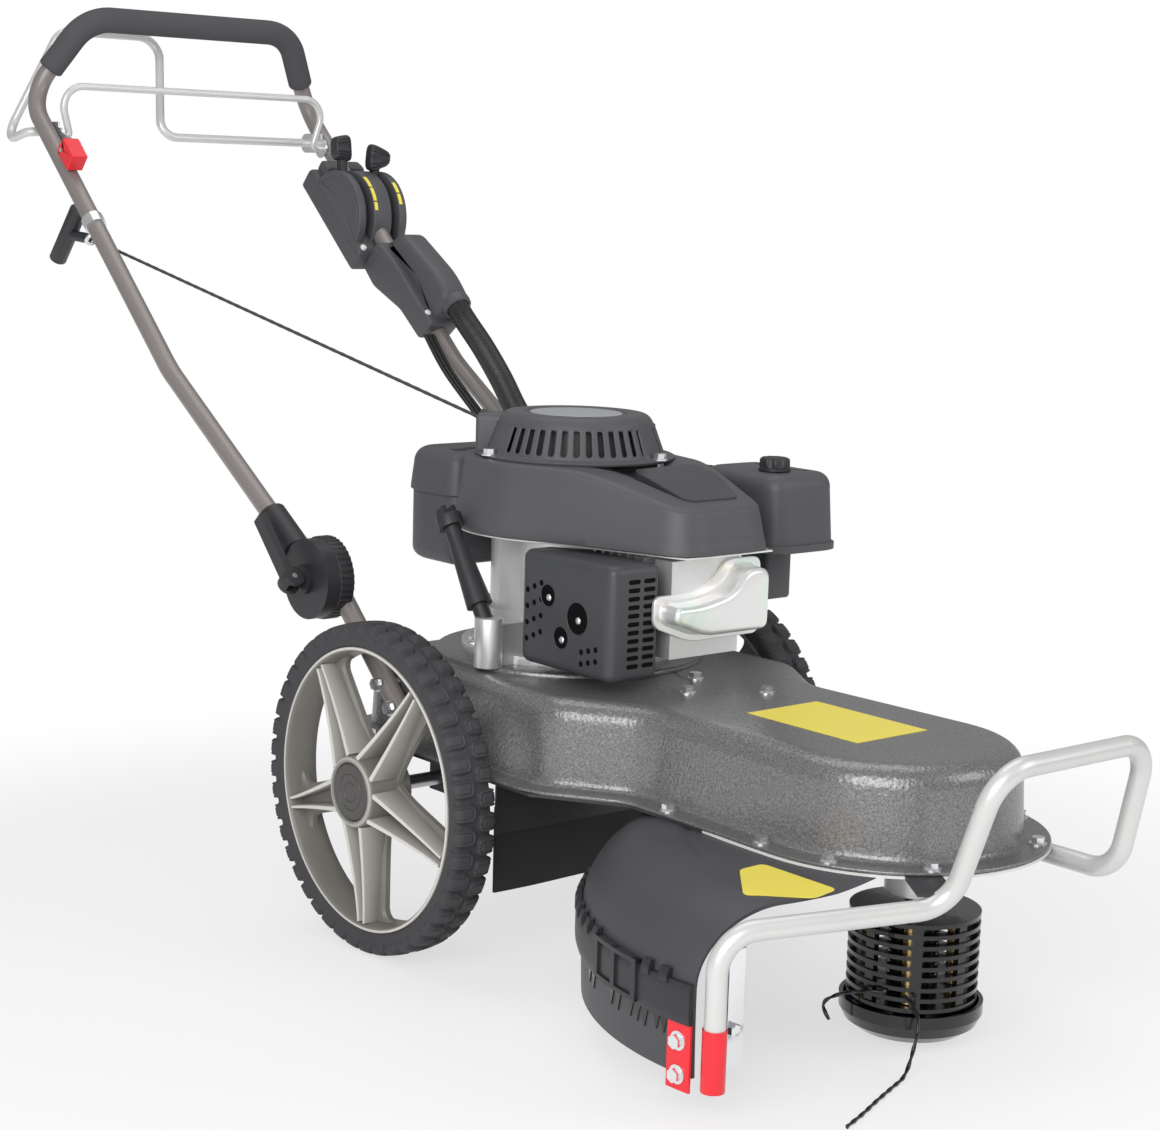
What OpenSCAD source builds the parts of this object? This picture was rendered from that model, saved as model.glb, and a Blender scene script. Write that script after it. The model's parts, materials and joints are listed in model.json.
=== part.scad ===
// Walk-behind petrol string trimmer: two tall spoked wheels, a steel deck that carries the engine,
// a belt-driven line head at the nose, a side guard and a folding loop handle.
// Millimetres. x points forward, y to the operator's left and z up. The chassis frame has its origin
// at the middle of the axle and leans nose down until the glide cup meets the ground.

/* [Wheels] */
// Radius of the tyre's tread
wheel_r = 175; // [160:1:190]
// Depth of the tyre from its tread to the rim
tyre_depth = 25; // [19:1:35]
// Width of the tyre
tyre_w = 43; // [36:1:50]
// Distance between the middle planes of the two wheels
wheel_gauge = 469; // [460:1:520]
// Radius of the hub
hub_r = 38; // [30:1:44]
// How far the hub stands out of the tyre's outer face
hub_proud = 14; // [6:1:20]
// Diameter of the axle
axle_d = 15; // [12:1:20]
// Number of spokes
spokes = 5; // [4:1:7]
// Width of a spoke's web at the hub
spoke_w = 46; // [36:1:52]
// Thickness of the spoke web
web_t = 8; // [5:1:12]

/* [Deck] */
// Reach of the deck behind the axle
deck_tail = 120; // [100:1:140]
// Half width of the deck's wide rear part
wide_half = 178; // [165:1:182]
// Where the wide part ends
shoulder_x = 205; // [190:1:220]
// Where the waist begins
waist_x = 292; // [280:1:310]
// Half width at the waist
waist_half = 121; // [112:1:126]
// Centre of the round nose
nose_x = 502; // [490:1:520]
// Radius of the round nose's wall
nose_r = 126; // [120:1:132]
// Radius of the rear corners
tail_r = 44; // [40:1:60]
// Width of the bolted flange
flange_w = 26; // [22:1:28]
// Height of the flange's underside above the axle
flange_z = 36; // [32:1:42]
// Height of the deck above the flange's underside
deck_h = 90; // [80:1:100]
// Rounding of the deck's top edge
deck_edge_r = 22; // [14:1:26]
// Thickness of the deck's sheet steel
sheet_t = 3; // [2:0.5:4]
// Thickness of the base plate
plate_t = 3; // [2:0.5:4]
// Height of the raised ring under the engine
ring_h = 4; // [2:0.5:6]
// How far the rear plate stands in front of the axle
rear_plate_x = 140; // [120:1:150]
// Depth of the rear plate below the base plate
rear_plate_h = 58; // [40:1:70]
// Depth of the rubber flap below the base plate
flap_h = 120; // [100:1:125]

/* [Cutting head] */
// Distance of the head's axis in front of the axle
head_x = 542; // [535:1:560]
// Depth of the glide cup's lowest point below the axle
head_drop = 154; // [146:1:160]
// Radius of the glide cup's rim
cup_r = 67.5; // [60:0.5:74]
// Height of the glide cup
cup_h = 40; // [34:1:46]
// Radius of the round bottom of the glide cup
cup_dome_r = 130; // [120:1:160]
// Radius of the spool
spool_r = 61.5; // [54:0.5:64]
// Height of the spool
spool_h = 84; // [76:1:88]
// Number of rings on the spool
spool_rings = 9; // [6:1:10]
// Diameter of the spindle
spindle_d = 20; // [16:1:24]
// Diameter of the trimmer line
line_d = 4; // [3:0.5:4]

/* [Belt drive] */
// Radius of the belt's inner face on the drive pulley
drive_pulley_r = 34; // [28:1:40]
// Radius of the belt's inner face on the driven pulley
driven_pulley_r = 54; // [44:1:60]
// Height of the belt
belt_h = 12; // [8:1:14]
// Thickness of the belt
belt_t = 8; // [6:1:10]
// Height of the belt's middle above the flange's underside
belt_z = 36; // [30:1:44]

/* [Guard] */
// Outer radius of the guard about the head's axis
guard_r = 312; // [300:1:320]
// Rounding between the guard's top and its wall
guard_corner = 72; // [50:1:80]
// Angle of the guard's front end to the right of straight ahead
guard_front = 84; // [84:1:92]
// Angle that the guard covers
guard_span = 98; // [80:1:104]
// Thickness of the guard
guard_t = 4; // [3:0.5:5]
// Depth of the guard's wall below its top
guard_h = 84; // [78:1:90]
// Height of the strap
strap_h = 36; // [28:1:40]
// Thickness of the strap
strap_t = 6; // [4:0.5:8]
// Depth of the skirt below the guard's wall
skirt_h = 66; // [60:1:72]
// Length of the red end plate round the guard
end_plate_l = 27; // [22:1:32]

/* [Bumper] */
// Diameter of the bumper tube
bumper_d = 19; // [16:1:22]
// Distance of the bumper's top bar in front of the axle
bumper_x = 716; // [705:1:730]
// Half width of the bumper's upright loop
bumper_half = 102; // [94:1:110]
// Height of the top bar above the axle
bumper_top = 152; // [140:1:165]
// Bend radius of the bumper tube at its middle
bumper_bend = 36; // [28:1:40]
// Place of the vertical leg in front of the axle
leg_x = 591; // [585:1:600]
// Place of the vertical leg to the right
leg_y = 300; // [292:1:306]
// Depth of the leg's end below the axle
leg_drop = 123; // [110:1:132]
// Fall of the arm between the nose and the leg
arm_fall = 10; // [4:1:14]
// Length of the red cap
cap_l = 55; // [40:1:65]
// Wall of the red cap
cap_t = 1.2; // [1:0.1:2]

/* [Engine] */
// Distance of the crankshaft in front of the axle
crank_x = 25; // [15:1:35]
// Diameter of the crankshaft
crank_d = 25; // [20:1:28]
// Radius of the crankcase's mounting flange
sump_r = 118; // [112:1:124]
// Radius of the crankcase
case_r = 88; // [80:1:90]
// Height of the crankcase
case_h = 132; // [126:1:138]
// Radius of the cowl over the flywheel
cowl_r = 126; // [120:1:130]
// Distance of the cowl's front end from the crankshaft
cowl_reach = 234; // [225:1:242]
// Height of the cowl
cowl_h = 77; // [70:1:84]
// Drop of the cowl's top towards its front end
cowl_drop = 30; // [20:1:34]
// Wall of the plastic covers
cover_t = 3; // [2:0.5:4]
// Radius of the recoil cover's flange
recoil_r = 108; // [100:1:112]
// Height of the recoil cover
recoil_h = 47; // [40:1:54]
// Number of slots in the recoil cover
recoil_slots = 30; // [20:1:36]
// Distance of the cylinder's axis above the engine's foot
bore_z = 78; // [74:1:82]
// Half width of the cylinder's fins
fin_half = 50; // [44:1:52]
// Distance of the valve cover's face from the crankshaft
valve_reach = 244; // [238:1:250]
// Depth of the valve cover
valve_t = 30; // [26:1:34]
// Right face of the muffler guard, from the crankshaft
muffler_y = 124; // [118:1:130]
// Length of the muffler guard
muffler_l = 148; // [140:1:152]
// Height of the muffler guard
muffler_h = 118; // [110:1:122]
// Rear face of the fuel tank, from the crankshaft
tank_back = 192; // [186:1:200]
// Half width of the fuel tank
tank_half = 92; // [84:1:98]
// Height of the fuel tank
tank_h = 126; // [110:1:134]
// Diameter of the oil filler tube
filler_d = 18; // [15:1:20]
// Length of the oil filler tube
filler_l = 120; // [110:1:124]
// Lean of the oil filler tube to the rear
filler_lean = 34; // [30:1:36]
// Near face of the air filter box, from the crankshaft
filter_y = 128; // [126:1:134]
// Length of the air filter box
filter_l = 136; // [124:1:142]
// Width of the air filter box
filter_w = 102; // [92:1:108]
// Height of the air filter box
filter_h = 84; // [76:1:90]

/* [Handle] */
// Diameter of the handle tube
tube_d = 22; // [20:1:25]
// Wall of the handle tube
tube_t = 2; // [1.5:0.5:2.5]
// How far the upper handle's tubes stand outside the lower ones
handle_out = 20.9; // [17:0.1:27]
// Distance of the hinge behind the axle
knuckle_x = 158; // [150:1:165]
// Height of the hinge above the axle
knuckle_z = 197; // [190:1:206]
// Radius of the toothed hinge discs
knuckle_r = 44; // [38:1:48]
// Thickness of one hinge disc
knuckle_t = 17; // [14:1:19]
// Length of the sleeve that holds the upper tube
sleeve_l = 62; // [50:1:70]
// Rise of the side tube's lower run
lower_rake = 32.5; // [28:0.5:36]
// Length of the lower run from the hinge to the bend
lower_run = 376; // [350:1:390]
// Rise of the side tube's upper run
upper_rake = 42; // [38:0.5:46]
// Length of the upper run
upper_run = 480; // [470:1:500]
// Rise of the loop above the upper run
loop_rise = 100; // [90:1:110]
// How far the loop leans forward
loop_lean = 44; // [36:1:50]
// Half width of the grip bar
grip_half = 150; // [140:1:156]
// Diameter of the foam grip
foam_d = 32; // [29:1:34]
// Length of the lower handle tube below the hinge
lower_tube_l = 192; // [184:1:196]
// Slope of the lower handle tube
lower_tube_rake = 43; // [40:1:46]

/* [Bails] */
// Diameter of the brake bail's rod
brake_rod_d = 9; // [7:0.5:10]
// Place of the brake bail's pivot along the upper run
brake_s = 404; // [396:1:410]
// Height of the brake bail above its pivot
brake_h = 65; // [60:1:70]
// Diameter of the drive bail's rod
drive_rod_d = 11; // [9:0.5:12]
// Distance of the drive bail's pivot behind the brake bail's
drive_back = 36; // [34:1:44]
// Height of the drive bail's pivot above the brake bail's
drive_up = 7; // [0:1:10]
// Height of the drive bail above its pivot
drive_h = 131; // [122:1:136]
// How far the drive bail's top lies behind its pivot
drive_rake = 53; // [48:1:60]
// Thickness of the bail brackets
bracket_t = 3; // [2:0.5:4]

/* [Controls] */
// Length of the control box
control_l = 166; // [150:1:172]
// Width of the control box
control_w = 78; // [74:1:84]
// Radius of the control box's quadrant
quadrant_r = 62; // [56:1:64]
// Place of the levers' pivot along the upper run
lever_s = 290; // [284:1:296]
// Depth of the levers' pivot below the tube's axis
lever_n = 20; // [18:1:22]
// Length of a control lever
lever_l = 94; // [86:1:100]
// Thickness of a control lever
lever_t = 11; // [8:1:12]
// Diameter of the ribbed hose
hose_d = 30; // [26:1:32]
// Bore of the ribbed hose
hose_bore = 21; // [18:1:22]
// Pitch of the hose's ribs
rib_pitch = 4.8; // [4.5:0.1:6]
// Diameter of a control cable
cable_d = 5; // [4:0.5:6]
// Diameter of the starter rope
rope_d = 4; // [3:0.5:5]
// Length of the starter grip's bar
starter_l = 84; // [70:1:90]
// Diameter of the starter grip's bar
starter_d = 22; // [18:1:24]

/* [Hidden] */
$fn = 48;
rim_r = wheel_r - tyre_depth;

// Running fit of a pivot, seat of a fixed piece, and gap between bodies that move past each other
run = 0.05;
seat = 0.1;
gap = 0.4;

// Lean of the chassis, from the glide cup's round bottom resting on the ground
dome_z = cup_dome_r - head_drop;
pitch = atan2(dome_z, head_x) + asin((wheel_r - cup_dome_r) / norm([head_x, dome_z]));

// Heights in the chassis frame
deck_top = flange_z + deck_h;
base_z = flange_z - plate_t;
engine_z = deck_top + ring_h;
blower_t = 2;
case_top = engine_z + case_h;
cowl_z = case_top + blower_t;
cowl_top = cowl_z + cowl_h;
recoil_top = cowl_top + recoil_h;
bore_top = engine_z + bore_z;
belt_mid = flange_z + belt_z;
spool_lift = 2;
spool_top = cup_h - head_drop + spool_lift + spool_h;
spool_low = spool_top - spool_h;

// Widths in the chassis frame: the hinge discs and the hub's back stand a little further in than their tubes
disc_set = 3;
hub_set = 2;
wheel_y = wheel_gauge / 2;
hub_face = wheel_y + tyre_w / 2 + hub_proud;
hub_back = wheel_y - tyre_w / 2 + hub_set;
lower_tube_y = wide_half + seat + tube_d / 2;
handle_half = lower_tube_y + handle_out;
disc_y = handle_half - disc_set;

// Points of the handle's side view; the tubes repeat them on both sides
hinge = [-knuckle_x, 0, knuckle_z];
lower_dir = [-cos(lower_rake), 0, sin(lower_rake)];
upper_dir = [-cos(upper_rake), 0, sin(upper_rake)];
bend_at = hinge + lower_run * lower_dir;
elbow_at = bend_at + upper_run * upper_dir;
grip_at = elbow_at + [loop_lean, 0, loop_rise];
brake_at = bend_at + brake_s * upper_dir;
drive_at = brake_at + [-drive_back, 0, drive_up];
drive_top = drive_at + [-drive_rake, 0, drive_h];
arm_back = drive_at + [-drive_rake - 16, 0, -14];
arm_y = handle_half + 12;

// Middle of the whole machine on the ground, from its foremost, rearmost and outermost points
function ground_x(p) = p.x * cos(pitch) + p.z * sin(pitch);
front_x = ground_x([bumper_x, 0, bumper_top]) + bumper_d / 2;
rear_x = ground_x(arm_back) - drive_rod_d / 2;
mid_x = (front_x + rear_x) / 2;
mid_y = (hub_face - guard_r - strap_t) / 2;

module on_chassis() {
    translate([-mid_x, -mid_y, wheel_r]) rotate([0, pitch, 0]) children();
}

module on_ground() {
    translate([-mid_x, -mid_y, 0]) children();
}

module at_head() {
    on_chassis() translate([head_x, 0, 0]) children();
}

module at_crank() {
    on_chassis() translate([crank_x, 0, 0]) children();
}

// Local z runs outwards along the axle, with its zero at the wheel's middle plane
module at_wheel(side) {
    on_chassis() mirror([0, side < 0 ? 1 : 0, 0]) translate([0, wheel_y, 0]) rotate([-90, 0, 0]) children();
}

// Local x runs up one side's upper tube from its bend, y towards the machine's middle and z off the tube
module on_tube(side) {
    on_chassis() mirror([0, side < 0 ? 1 : 0, 0]) translate([bend_at.x, handle_half, bend_at.z])
        rotate([0, upper_rake - 180, 0]) rotate([180, 0, 0]) children();
}

module both_sides() {
    children();
    mirror([0, 1, 0]) children();
}

// Straight and bent rods
function unit(v) = v / norm(v);
function turn(a, b, c) = acos(unit(b - a) * unit(c - b));
function at_y(p, y) = [p.x, y, p.z];

module aim(from, v) {
    translate(from) rotate([0, acos(v.z / norm(v)), atan2(v.y, v.x)]) children();
}

module rod(a, b, d) {
    aim(a, b - a) cylinder(d = d, h = norm(b - a));
}

// The bends are a touch fuller than the straights, which reach a little way into them
bend_swell = 0.24;
bend_reach = 0.6;

module elbow(a, b, c, r, d) {
    u = unit(b - a);
    w = unit(c - b);
    bend = turn(a, b, c);
    centre = b + unit(w - u) * r / cos(bend / 2);
    e = unit(b - u * r * tan(bend / 2) - centre);
    n = unit(cross(u, w));
    multmatrix([[e.x, u.x, n.x, centre.x], [e.y, u.y, n.y, centre.y], [e.z, u.z, n.z, centre.z],
                [0, 0, 0, 1]])
        rotate_extrude(angle = bend) translate([r, 0]) circle(d = d + bend_swell);
}

// A rod along the route's points, with one bend radius for each inner point
module bent_rod(route, bends, d) {
    last = len(route) - 1;
    trims = [for (i = [0:last]) i == 0 || i == last ? 0
             : bends[i - 1] * tan(turn(route[i - 1], route[i], route[i + 1]) / 2)];
    for (i = [0:last - 1]) {
        u = unit(route[i + 1] - route[i]);
        rod(route[i] + u * (i == 0 ? 0 : trims[i] - bend_reach),
            route[i + 1] - u * (i == last - 1 ? 0 : trims[i + 1] - bend_reach), d);
    }
    for (i = [1:last - 1]) elbow(route[i - 1], route[i], route[i + 1], bends[i - 1], d);
}

function longer(route, more) = let(last = len(route) - 1)
    [for (i = [0:last]) i == 0 ? route[0] + more * unit(route[0] - route[1])
     : i == last ? route[last] + more * unit(route[last] - route[last - 1]) : route[i]];

module bent_tube(route, bends, d, bore) {
    difference() {
        bent_rod(route, bends, d);
        bent_rod(longer(route, 1), bends, bore);
    }
}

// Flat rounded shapes
module rounded(l, w, r) {
    square([l - 2 * r, w], center = true);
    square([l, w - 2 * r], center = true);
    for (x = [-1, 1], y = [-1, 1]) translate([x * (l / 2 - r), y * (w / 2 - r)]) circle(r);
}

module slab(l, w, h, r) {
    linear_extrude(h) rounded(l, w, r);
}

// Soft tubes: a smooth curve through hand-set points, sampled by its length
function curve_point(p, i, t) =
    let(a = p[max(i - 1, 0)], b = p[i], c = p[i + 1], d = p[min(i + 2, len(p) - 1)])
    (2 * b + (c - a) * t + (2 * a - 5 * b + 4 * c - d) * t * t + (3 * b - a - 3 * c + d) * t * t * t) / 2;
function curve(p, steps) = concat([for (i = [0:len(p) - 2], k = [0:steps - 1]) curve_point(p, i,
                                   k / steps)],
                                  [p[len(p) - 1]]);
function lengths(p) = [for (i = 0, s = 0; i < len(p);
    i = i + 1, s = s + (i < len(p) ? norm(p[i] - p[i - 1]) : 0)) s];
function sampler(p) = let(s = lengths(p)) [for (k = [0:2]) [for (i = [0:len(p) - 1]) [s[i], p[i][k]]]];
function on_curve(table, s) = [for (k = [0:2]) lookup(s, table[k])];
function curve_length(p) = let(s = lengths(p)) s[len(s) - 1];

function tube_ring(table, s, total, r, sides) =
    let(p = on_curve(table, s),
        t = unit(on_curve(table, min(s + 3, total)) - on_curve(table, max(s - 3, 0))),
        u = unit(cross([0, 1, 0], t)),
        v = cross(t, u))
    [for (k = [0:sides - 1]) p + r * (u * cos(360 * k / sides) + v * sin(360 * k / sides))];

// Faces between rings first to last of n points each, in an order that faces outwards
function skin(first, last, n) = [for (i = [first:last - 1], j = [0:n - 1])
    let(a = i * n + j, b = i * n + (j + 1) % n) each [[a, a + n, b + n], [a, b + n, b]]];

module solid_tube(route, d, rings, sides) {
    path = curve(route, 8);
    table = sampler(path);
    total = curve_length(path);
    points = [for (i = [0:rings]) each tube_ring(table, total * i / rings, total, d / 2, sides)];
    polyhedron(points, concat(skin(0, rings, sides), [[for (k = [0:sides - 1]) k]],
                              [[for (k = [sides - 1:-1:0]) rings * sides + k]]));
}

// A hose with a rib at every step, a smooth bore and plain ends
module ribbed_tube(route, d, bore, step, sides) {
    path = curve(route, 8);
    table = sampler(path);
    total = curve_length(path);
    ribs = floor((total - 2 * d) / step);
    plain = (total - ribs * step) / 2;
    root = (d + bore) / 4 + 0.5;
    outer = concat([[0, root]],
                   [for (i = [0:ribs - 1]) each [[plain + i * step, root], [plain + (i + 0.5) * step,
                   d / 2]]],
                   [[total - plain, root], [total, root]]);
    steps = floor(total / (d / 2));
    inner = [for (i = [steps:-1:0]) [total * i / steps, bore / 2]];
    all = concat(outer, inner);
    points = [for (q = all) each tube_ring(table, q[0], total, q[1], sides)];
    last = len(all) - 1;
    close = [for (j = [0:sides - 1]) let(a = last * sides + j, b = last * sides + (j + 1) % sides)
             each [[a, j, (j + 1) % sides], [a, (j + 1) % sides, b]]];
    polyhedron(points, concat(skin(0, last, sides), close));
}

// Wheels
rim_t = 13;
rim_w = tyre_w - 8;
rib_h = rim_w - 8;

module tyre(side) {
    tread = tyre_w / 2 - 9;
    wall = tyre_w / 2;
    color("#454447") at_wheel(side) rotate_extrude($fn = 96)
        polygon([[rim_r, -wall + 3], [wheel_r - 14, -wall], [wheel_r - 5, -wall + 2], [wheel_r, -tread],
                 [wheel_r, tread], [wheel_r - 5, wall - 2], [wheel_r - 14, wall], [rim_r, wall - 3]]);
}

module spoke() {
    inner = hub_r - 4;
    outer = rim_r - rim_t + 1;
    half = spoke_w / 2;
    translate([0, 0, -web_t]) linear_extrude(web_t)
        polygon([[inner, -half], [outer, -half * 0.75], [outer, half * 0.75], [inner, half]]);
    for (s = [-1, 1]) linear_extrude(rib_h / 2)
        polygon([[inner, s * (half - 4)], [outer, s * 4], [outer, s * 8], [inner, s * half]]);
}

module rim(side) {
    color("#7d7973") at_wheel(side) difference() {
        union() {
            rotate_extrude($fn = 96) translate([rim_r - rim_t, -rim_w / 2]) square([rim_t, rim_w]);
            translate([0, 0, hub_back - wheel_y]) cylinder(r = hub_r, h = hub_face - hub_back);
            for (i = [0:spokes - 1]) rotate(360 * i / spokes + 90) spoke();
        }
        translate([0, 0, hub_back - wheel_y - 1])
            cylinder(d = axle_d + 2 * run, h = axle_end - hub_back + 1 + gap);
    }
}

axle_end = hub_face - 8;

module axle() {
    color("#8a8a8c") on_chassis() rotate([90, 0, 0]) cylinder(d = axle_d, h = 2 * axle_end, center = true);
}

// Drive gearbox on the axle, hung from the base plate
gearbox_r = 32;
gearbox_w = 96;

module gearbox() {
    color("#3a3a3c") on_chassis() difference() {
        union() {
            rotate([90, 0, 0]) cylinder(r = gearbox_r, h = gearbox_w, center = true);
            translate([-gearbox_r, -gearbox_w * 0.35, 0]) cube([2 * gearbox_r, gearbox_w * 0.7, base_z]);
        }
        rotate([90, 0, 0]) cylinder(d = axle_d + 2 * seat, h = gearbox_w + 2, center = true);
    }
}

// Deck outline: round nose, waist, shoulders and round rear corners, grown outwards by g
function arc(c, r, a, b, n) = [for (i = [0:n]) c + r * [cos(a + (b - a) * i / n),
                               sin(a + (b - a) * i / n)]];
function miter(p, a, b, g) = p + g * (a + b) / (1 + a * b);
facet_normal = unit([wide_half - waist_half, waist_x - shoulder_x]);
function deck_half(g) = concat(
    arc([nose_x, 0], nose_r + g, 0, 90, 12),
    [miter([waist_x, waist_half], [0, 1], facet_normal, g)],
    [miter([shoulder_x, wide_half], facet_normal, [0, 1], g)],
    arc([tail_r - deck_tail, wide_half - tail_r], tail_r + g, 90, 180, 5));
function deck_outline(g) = let(h = deck_half(g)) concat(h, [for (i = [len(h) - 1:-1:1]) [h[i].x, -h[i].y]]);
function deck_ring(g, z) = [for (p = deck_outline(g)) [p.x, p.y, z]];

module loft(rings) {
    n = len(rings[0]);
    last = len(rings) - 1;
    polyhedron([for (r = rings) each r], concat(skin(0, last, n), [[for (k = [0:n - 1]) k]],
                                               [[for (k = [n - 1:-1:0]) last * n + k]]));
}

// Bolts: [place, turn that brings z along the bolt's outward side, shank length]
bolt_d = 8;
bolt_head = 13;
washer_d = 17;
flange_bolt_l = sheet_t + plate_t + guard_t + 4;
flange_g = flange_w / 2 + 2;
function side_half(x) = waist_half + (nose_r - waist_half) * (x - waist_x) / (nose_x - waist_x);
flange_right = concat(
    [for (a = [31, 69]) [nose_x, 0] + (nose_r + flange_g) * [cos(a), sin(a)]],
    [for (x = [nose_x - 26, waist_x + 53]) [x, side_half(x) + flange_g]],
    [for (x = [shoulder_x - 100, 60 - deck_tail]) [x, wide_half + flange_g]]);
flange_bolts = [for (s = [-1, 1], p = flange_right)
    [[p.x, s * p.y, flange_z + sheet_t], [0, 0, 0], flange_bolt_l]];
top_bolts = [for (p = [[6, 17], [52, -36], [95, 33]]) [[shoulder_x + p.x, p.y, deck_top], [0, 0, 0], 14]];
mount_bolt_r = sump_r - 9;
sump_t = 9;
engine_bolts = [for (a = [80, 170, 250])
    [[crank_x + mount_bolt_r * cos(a), mount_bolt_r * sin(a), engine_z + sump_t], [0, 0, 0],
     sump_t + ring_h + sheet_t + 4]];
lower_tube_dir = [cos(lower_tube_rake), 0, -sin(lower_tube_rake)];
tube_bolts = [for (s = [-1, 1], t = [lower_tube_l - 46, lower_tube_l - 14])
    [at_y(hinge + t * lower_tube_dir, s * (lower_tube_y + tube_d / 2 + 0.2)), [-90 * s, 0, 0],
    tube_d + sheet_t + 5]];
end_bolt_a = -guard_front - end_plate_l / guard_r * 28;
plate_bolt_z = base_z - guard_h - strap_h / 2;
end_plate_t = 2.5;
guard_bolts = [for (z = [16, 46]) [[head_x + (guard_r + end_plate_t) * cos(end_bolt_a),
                                    (guard_r + end_plate_t) * sin(end_bolt_a), plate_bolt_z - z],
                                   [0, 90, end_bolt_a], end_plate_t + guard_t + 4]];
recoil_bolt_r = recoil_r - 4;
recoil_bolts = [for (a = [20, 140, 260])
    [[crank_x + recoil_bolt_r * cos(a), recoil_bolt_r * sin(a), cowl_top + cover_t], [0, 0, 0],
    2 * cover_t + 4]];

module each_bolt(list) {
    for (b = list) translate(b[0]) rotate(b[1]) {
        $shank = b[2];
        children();
    }
}

module bolt_holes(list) {
    each_bolt(list) translate([0, 0, -$shank - 1]) cylinder(d = bolt_d + 2 * seat, h = $shank + 2);
}

module hex_bolts() {
    color("#c9cbcd") on_chassis()
        each_bolt(concat(flange_bolts, top_bolts, engine_bolts, tube_bolts, guard_bolts, recoil_bolts)) {
            cylinder(d = washer_d, h = 1.5);
            cylinder(d = bolt_head, h = 7, $fn = 6);
            translate([0, 0, -$shank]) cylinder(d = bolt_d, h = $shank);
        }
}

crank_hole_r = 52;
ring_r = sump_r + 26;

module deck_cover() {
    wall_top = deck_top - deck_edge_r;
    inner_r = deck_edge_r - sheet_t;
    rise = [for (a = [0:15:90]) [deck_edge_r * (cos(a) - 1), wall_top + deck_edge_r * sin(a)]];
    fall = [for (a = [90:-30:0]) [inner_r * (cos(a) - 1) - sheet_t, wall_top + inner_r * sin(a)]];
    levels = concat(fall, [[-sheet_t, flange_z], [flange_w, flange_z], [flange_w, flange_z + sheet_t],
                           [0, flange_z + sheet_t]], rise);
    color("#5a5755") on_chassis() difference() {
        union() {
            loft([for (l = levels) deck_ring(l[0], l[1])]);
            translate([crank_x, 0, deck_top - 0.5]) cylinder(r = ring_r, h = ring_h + 0.5);
        }
        translate([crank_x, 0, deck_top - 10]) cylinder(r = crank_hole_r, h = ring_h + 20);
        bolt_holes(concat(flange_bolts, top_bolts, engine_bolts, tube_bolts));
    }
}

// Base plate with the ears that hold the axle, the rear plate and the bumper's tab
ear_y = 146;
ear_t = 6;
rear_half = wide_half + 10;
tab_a = -35;

module base_plate() {
    color("#2f3032") on_chassis() difference() {
        union() {
            translate([0, 0, base_z]) linear_extrude(plate_t) {
                polygon(deck_outline(flange_w - 1));
                translate([nose_x, 0]) rotate(tab_a) translate([nose_r - 8, -17]) square([84, 34]);
            }
            both_sides() translate([-axle_d - 6, ear_y, -axle_d - 2])
                cube([2 * axle_d + 12, ear_t, base_z + axle_d + 3]);
            translate([rear_plate_x, -rear_half, base_z - rear_plate_h])
                cube([plate_t, 2 * rear_half, rear_plate_h + 1]);
        }
        translate([head_x, 0, base_z - 1]) cylinder(d = spindle_d + 8, h = plate_t + 2);
        rotate([90, 0, 0]) cylinder(d = axle_d + 2 * seat, h = 2 * wheel_y, center = true);
        bolt_holes(flange_bolts);
        bent_rod(bumper_route, bumper_bends, bumper_d + 2 * seat);
    }
}

flap_t = 4;

module rear_flap() {
    color("#1f1f21") on_chassis() translate([rear_plate_x - flap_t, -rear_half + 2, base_z - flap_h])
        cube([flap_t, 2 * rear_half - 4, flap_h - 30]);
}

// Guard: pieces turned about the head's axis
module guard_sweep(from, span) {
    at_head() rotate(from) rotate_extrude(angle = span, $fn = 96) children();
}

guard_from = -guard_front - guard_span;
guard_in = 118;
guard_low = base_z - guard_h;

module guard_dome() {
    c = [guard_r - guard_corner, base_z - guard_corner];
    color("#3f3f42") difference() {
        guard_sweep(guard_from, guard_span)
            polygon(concat([[guard_in, base_z]], arc(c, guard_corner, 90, 0, 12), [[guard_r, guard_low]],
                           [[guard_r - guard_t, guard_low]], arc(c, guard_corner - guard_t, 0, 90, 12),
                           [[guard_in, base_z - guard_t]]));
        on_chassis() bolt_holes(flange_bolts);
    }
}

module guard_strap() {
    color("#353538") guard_sweep(guard_from, guard_span)
        translate([guard_r + seat, guard_low - strap_h / 2]) square([strap_t - seat, strap_h]);
}

module guard_skirt() {
    color("#3c3c3f") difference() {
        guard_sweep(guard_from, guard_span)
            translate([guard_r - guard_t, guard_low - seat - skirt_h]) square([guard_t, skirt_h]);
        on_chassis() bolt_holes(guard_bolts);
    }
}

module guard_end_plate() {
    span = end_plate_l / guard_r * 180 / PI;
    color("#e8383f") difference() {
        guard_sweep(-guard_front - span, span)
            translate([guard_r + seat, plate_bolt_z - 60]) square([end_plate_t - seat, 60 - seat]);
        on_chassis() bolt_holes(guard_bolts);
    }
}

// Bumper: from under the nose's left side, up and across, down to the arm and the capped leg
bumper_z = base_z - bumper_d / 2 - seat;
bumper_route = [[nose_x + 60, bumper_half, bumper_z], [bumper_x - 26, bumper_half, bumper_z],
                [bumper_x, bumper_half, bumper_top], [bumper_x, -bumper_half, bumper_top],
                [bumper_x - 46, -bumper_half, bumper_z - 1], [leg_x, -leg_y, bumper_z - arm_fall],
                [leg_x, -leg_y, -leg_drop]];
bumper_bends = [for (i = [1:5]) bumper_bend];
bumper_wall = 2;

module bumper_bar() {
    color("#c9c7c3") on_chassis() bent_tube(bumper_route, bumper_bends, bumper_d,
        bumper_d - 2 * bumper_wall);
}

module bumper_cap() {
    color("#e8383f") on_chassis() translate([leg_x, -leg_y, -leg_drop - cap_t]) difference() {
        cylinder(d = bumper_d + 2 * (cap_t + seat), h = cap_l);
        translate([0, 0, cap_t]) cylinder(d = bumper_d + 2 * seat, h = cap_l);
    }
}

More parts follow.
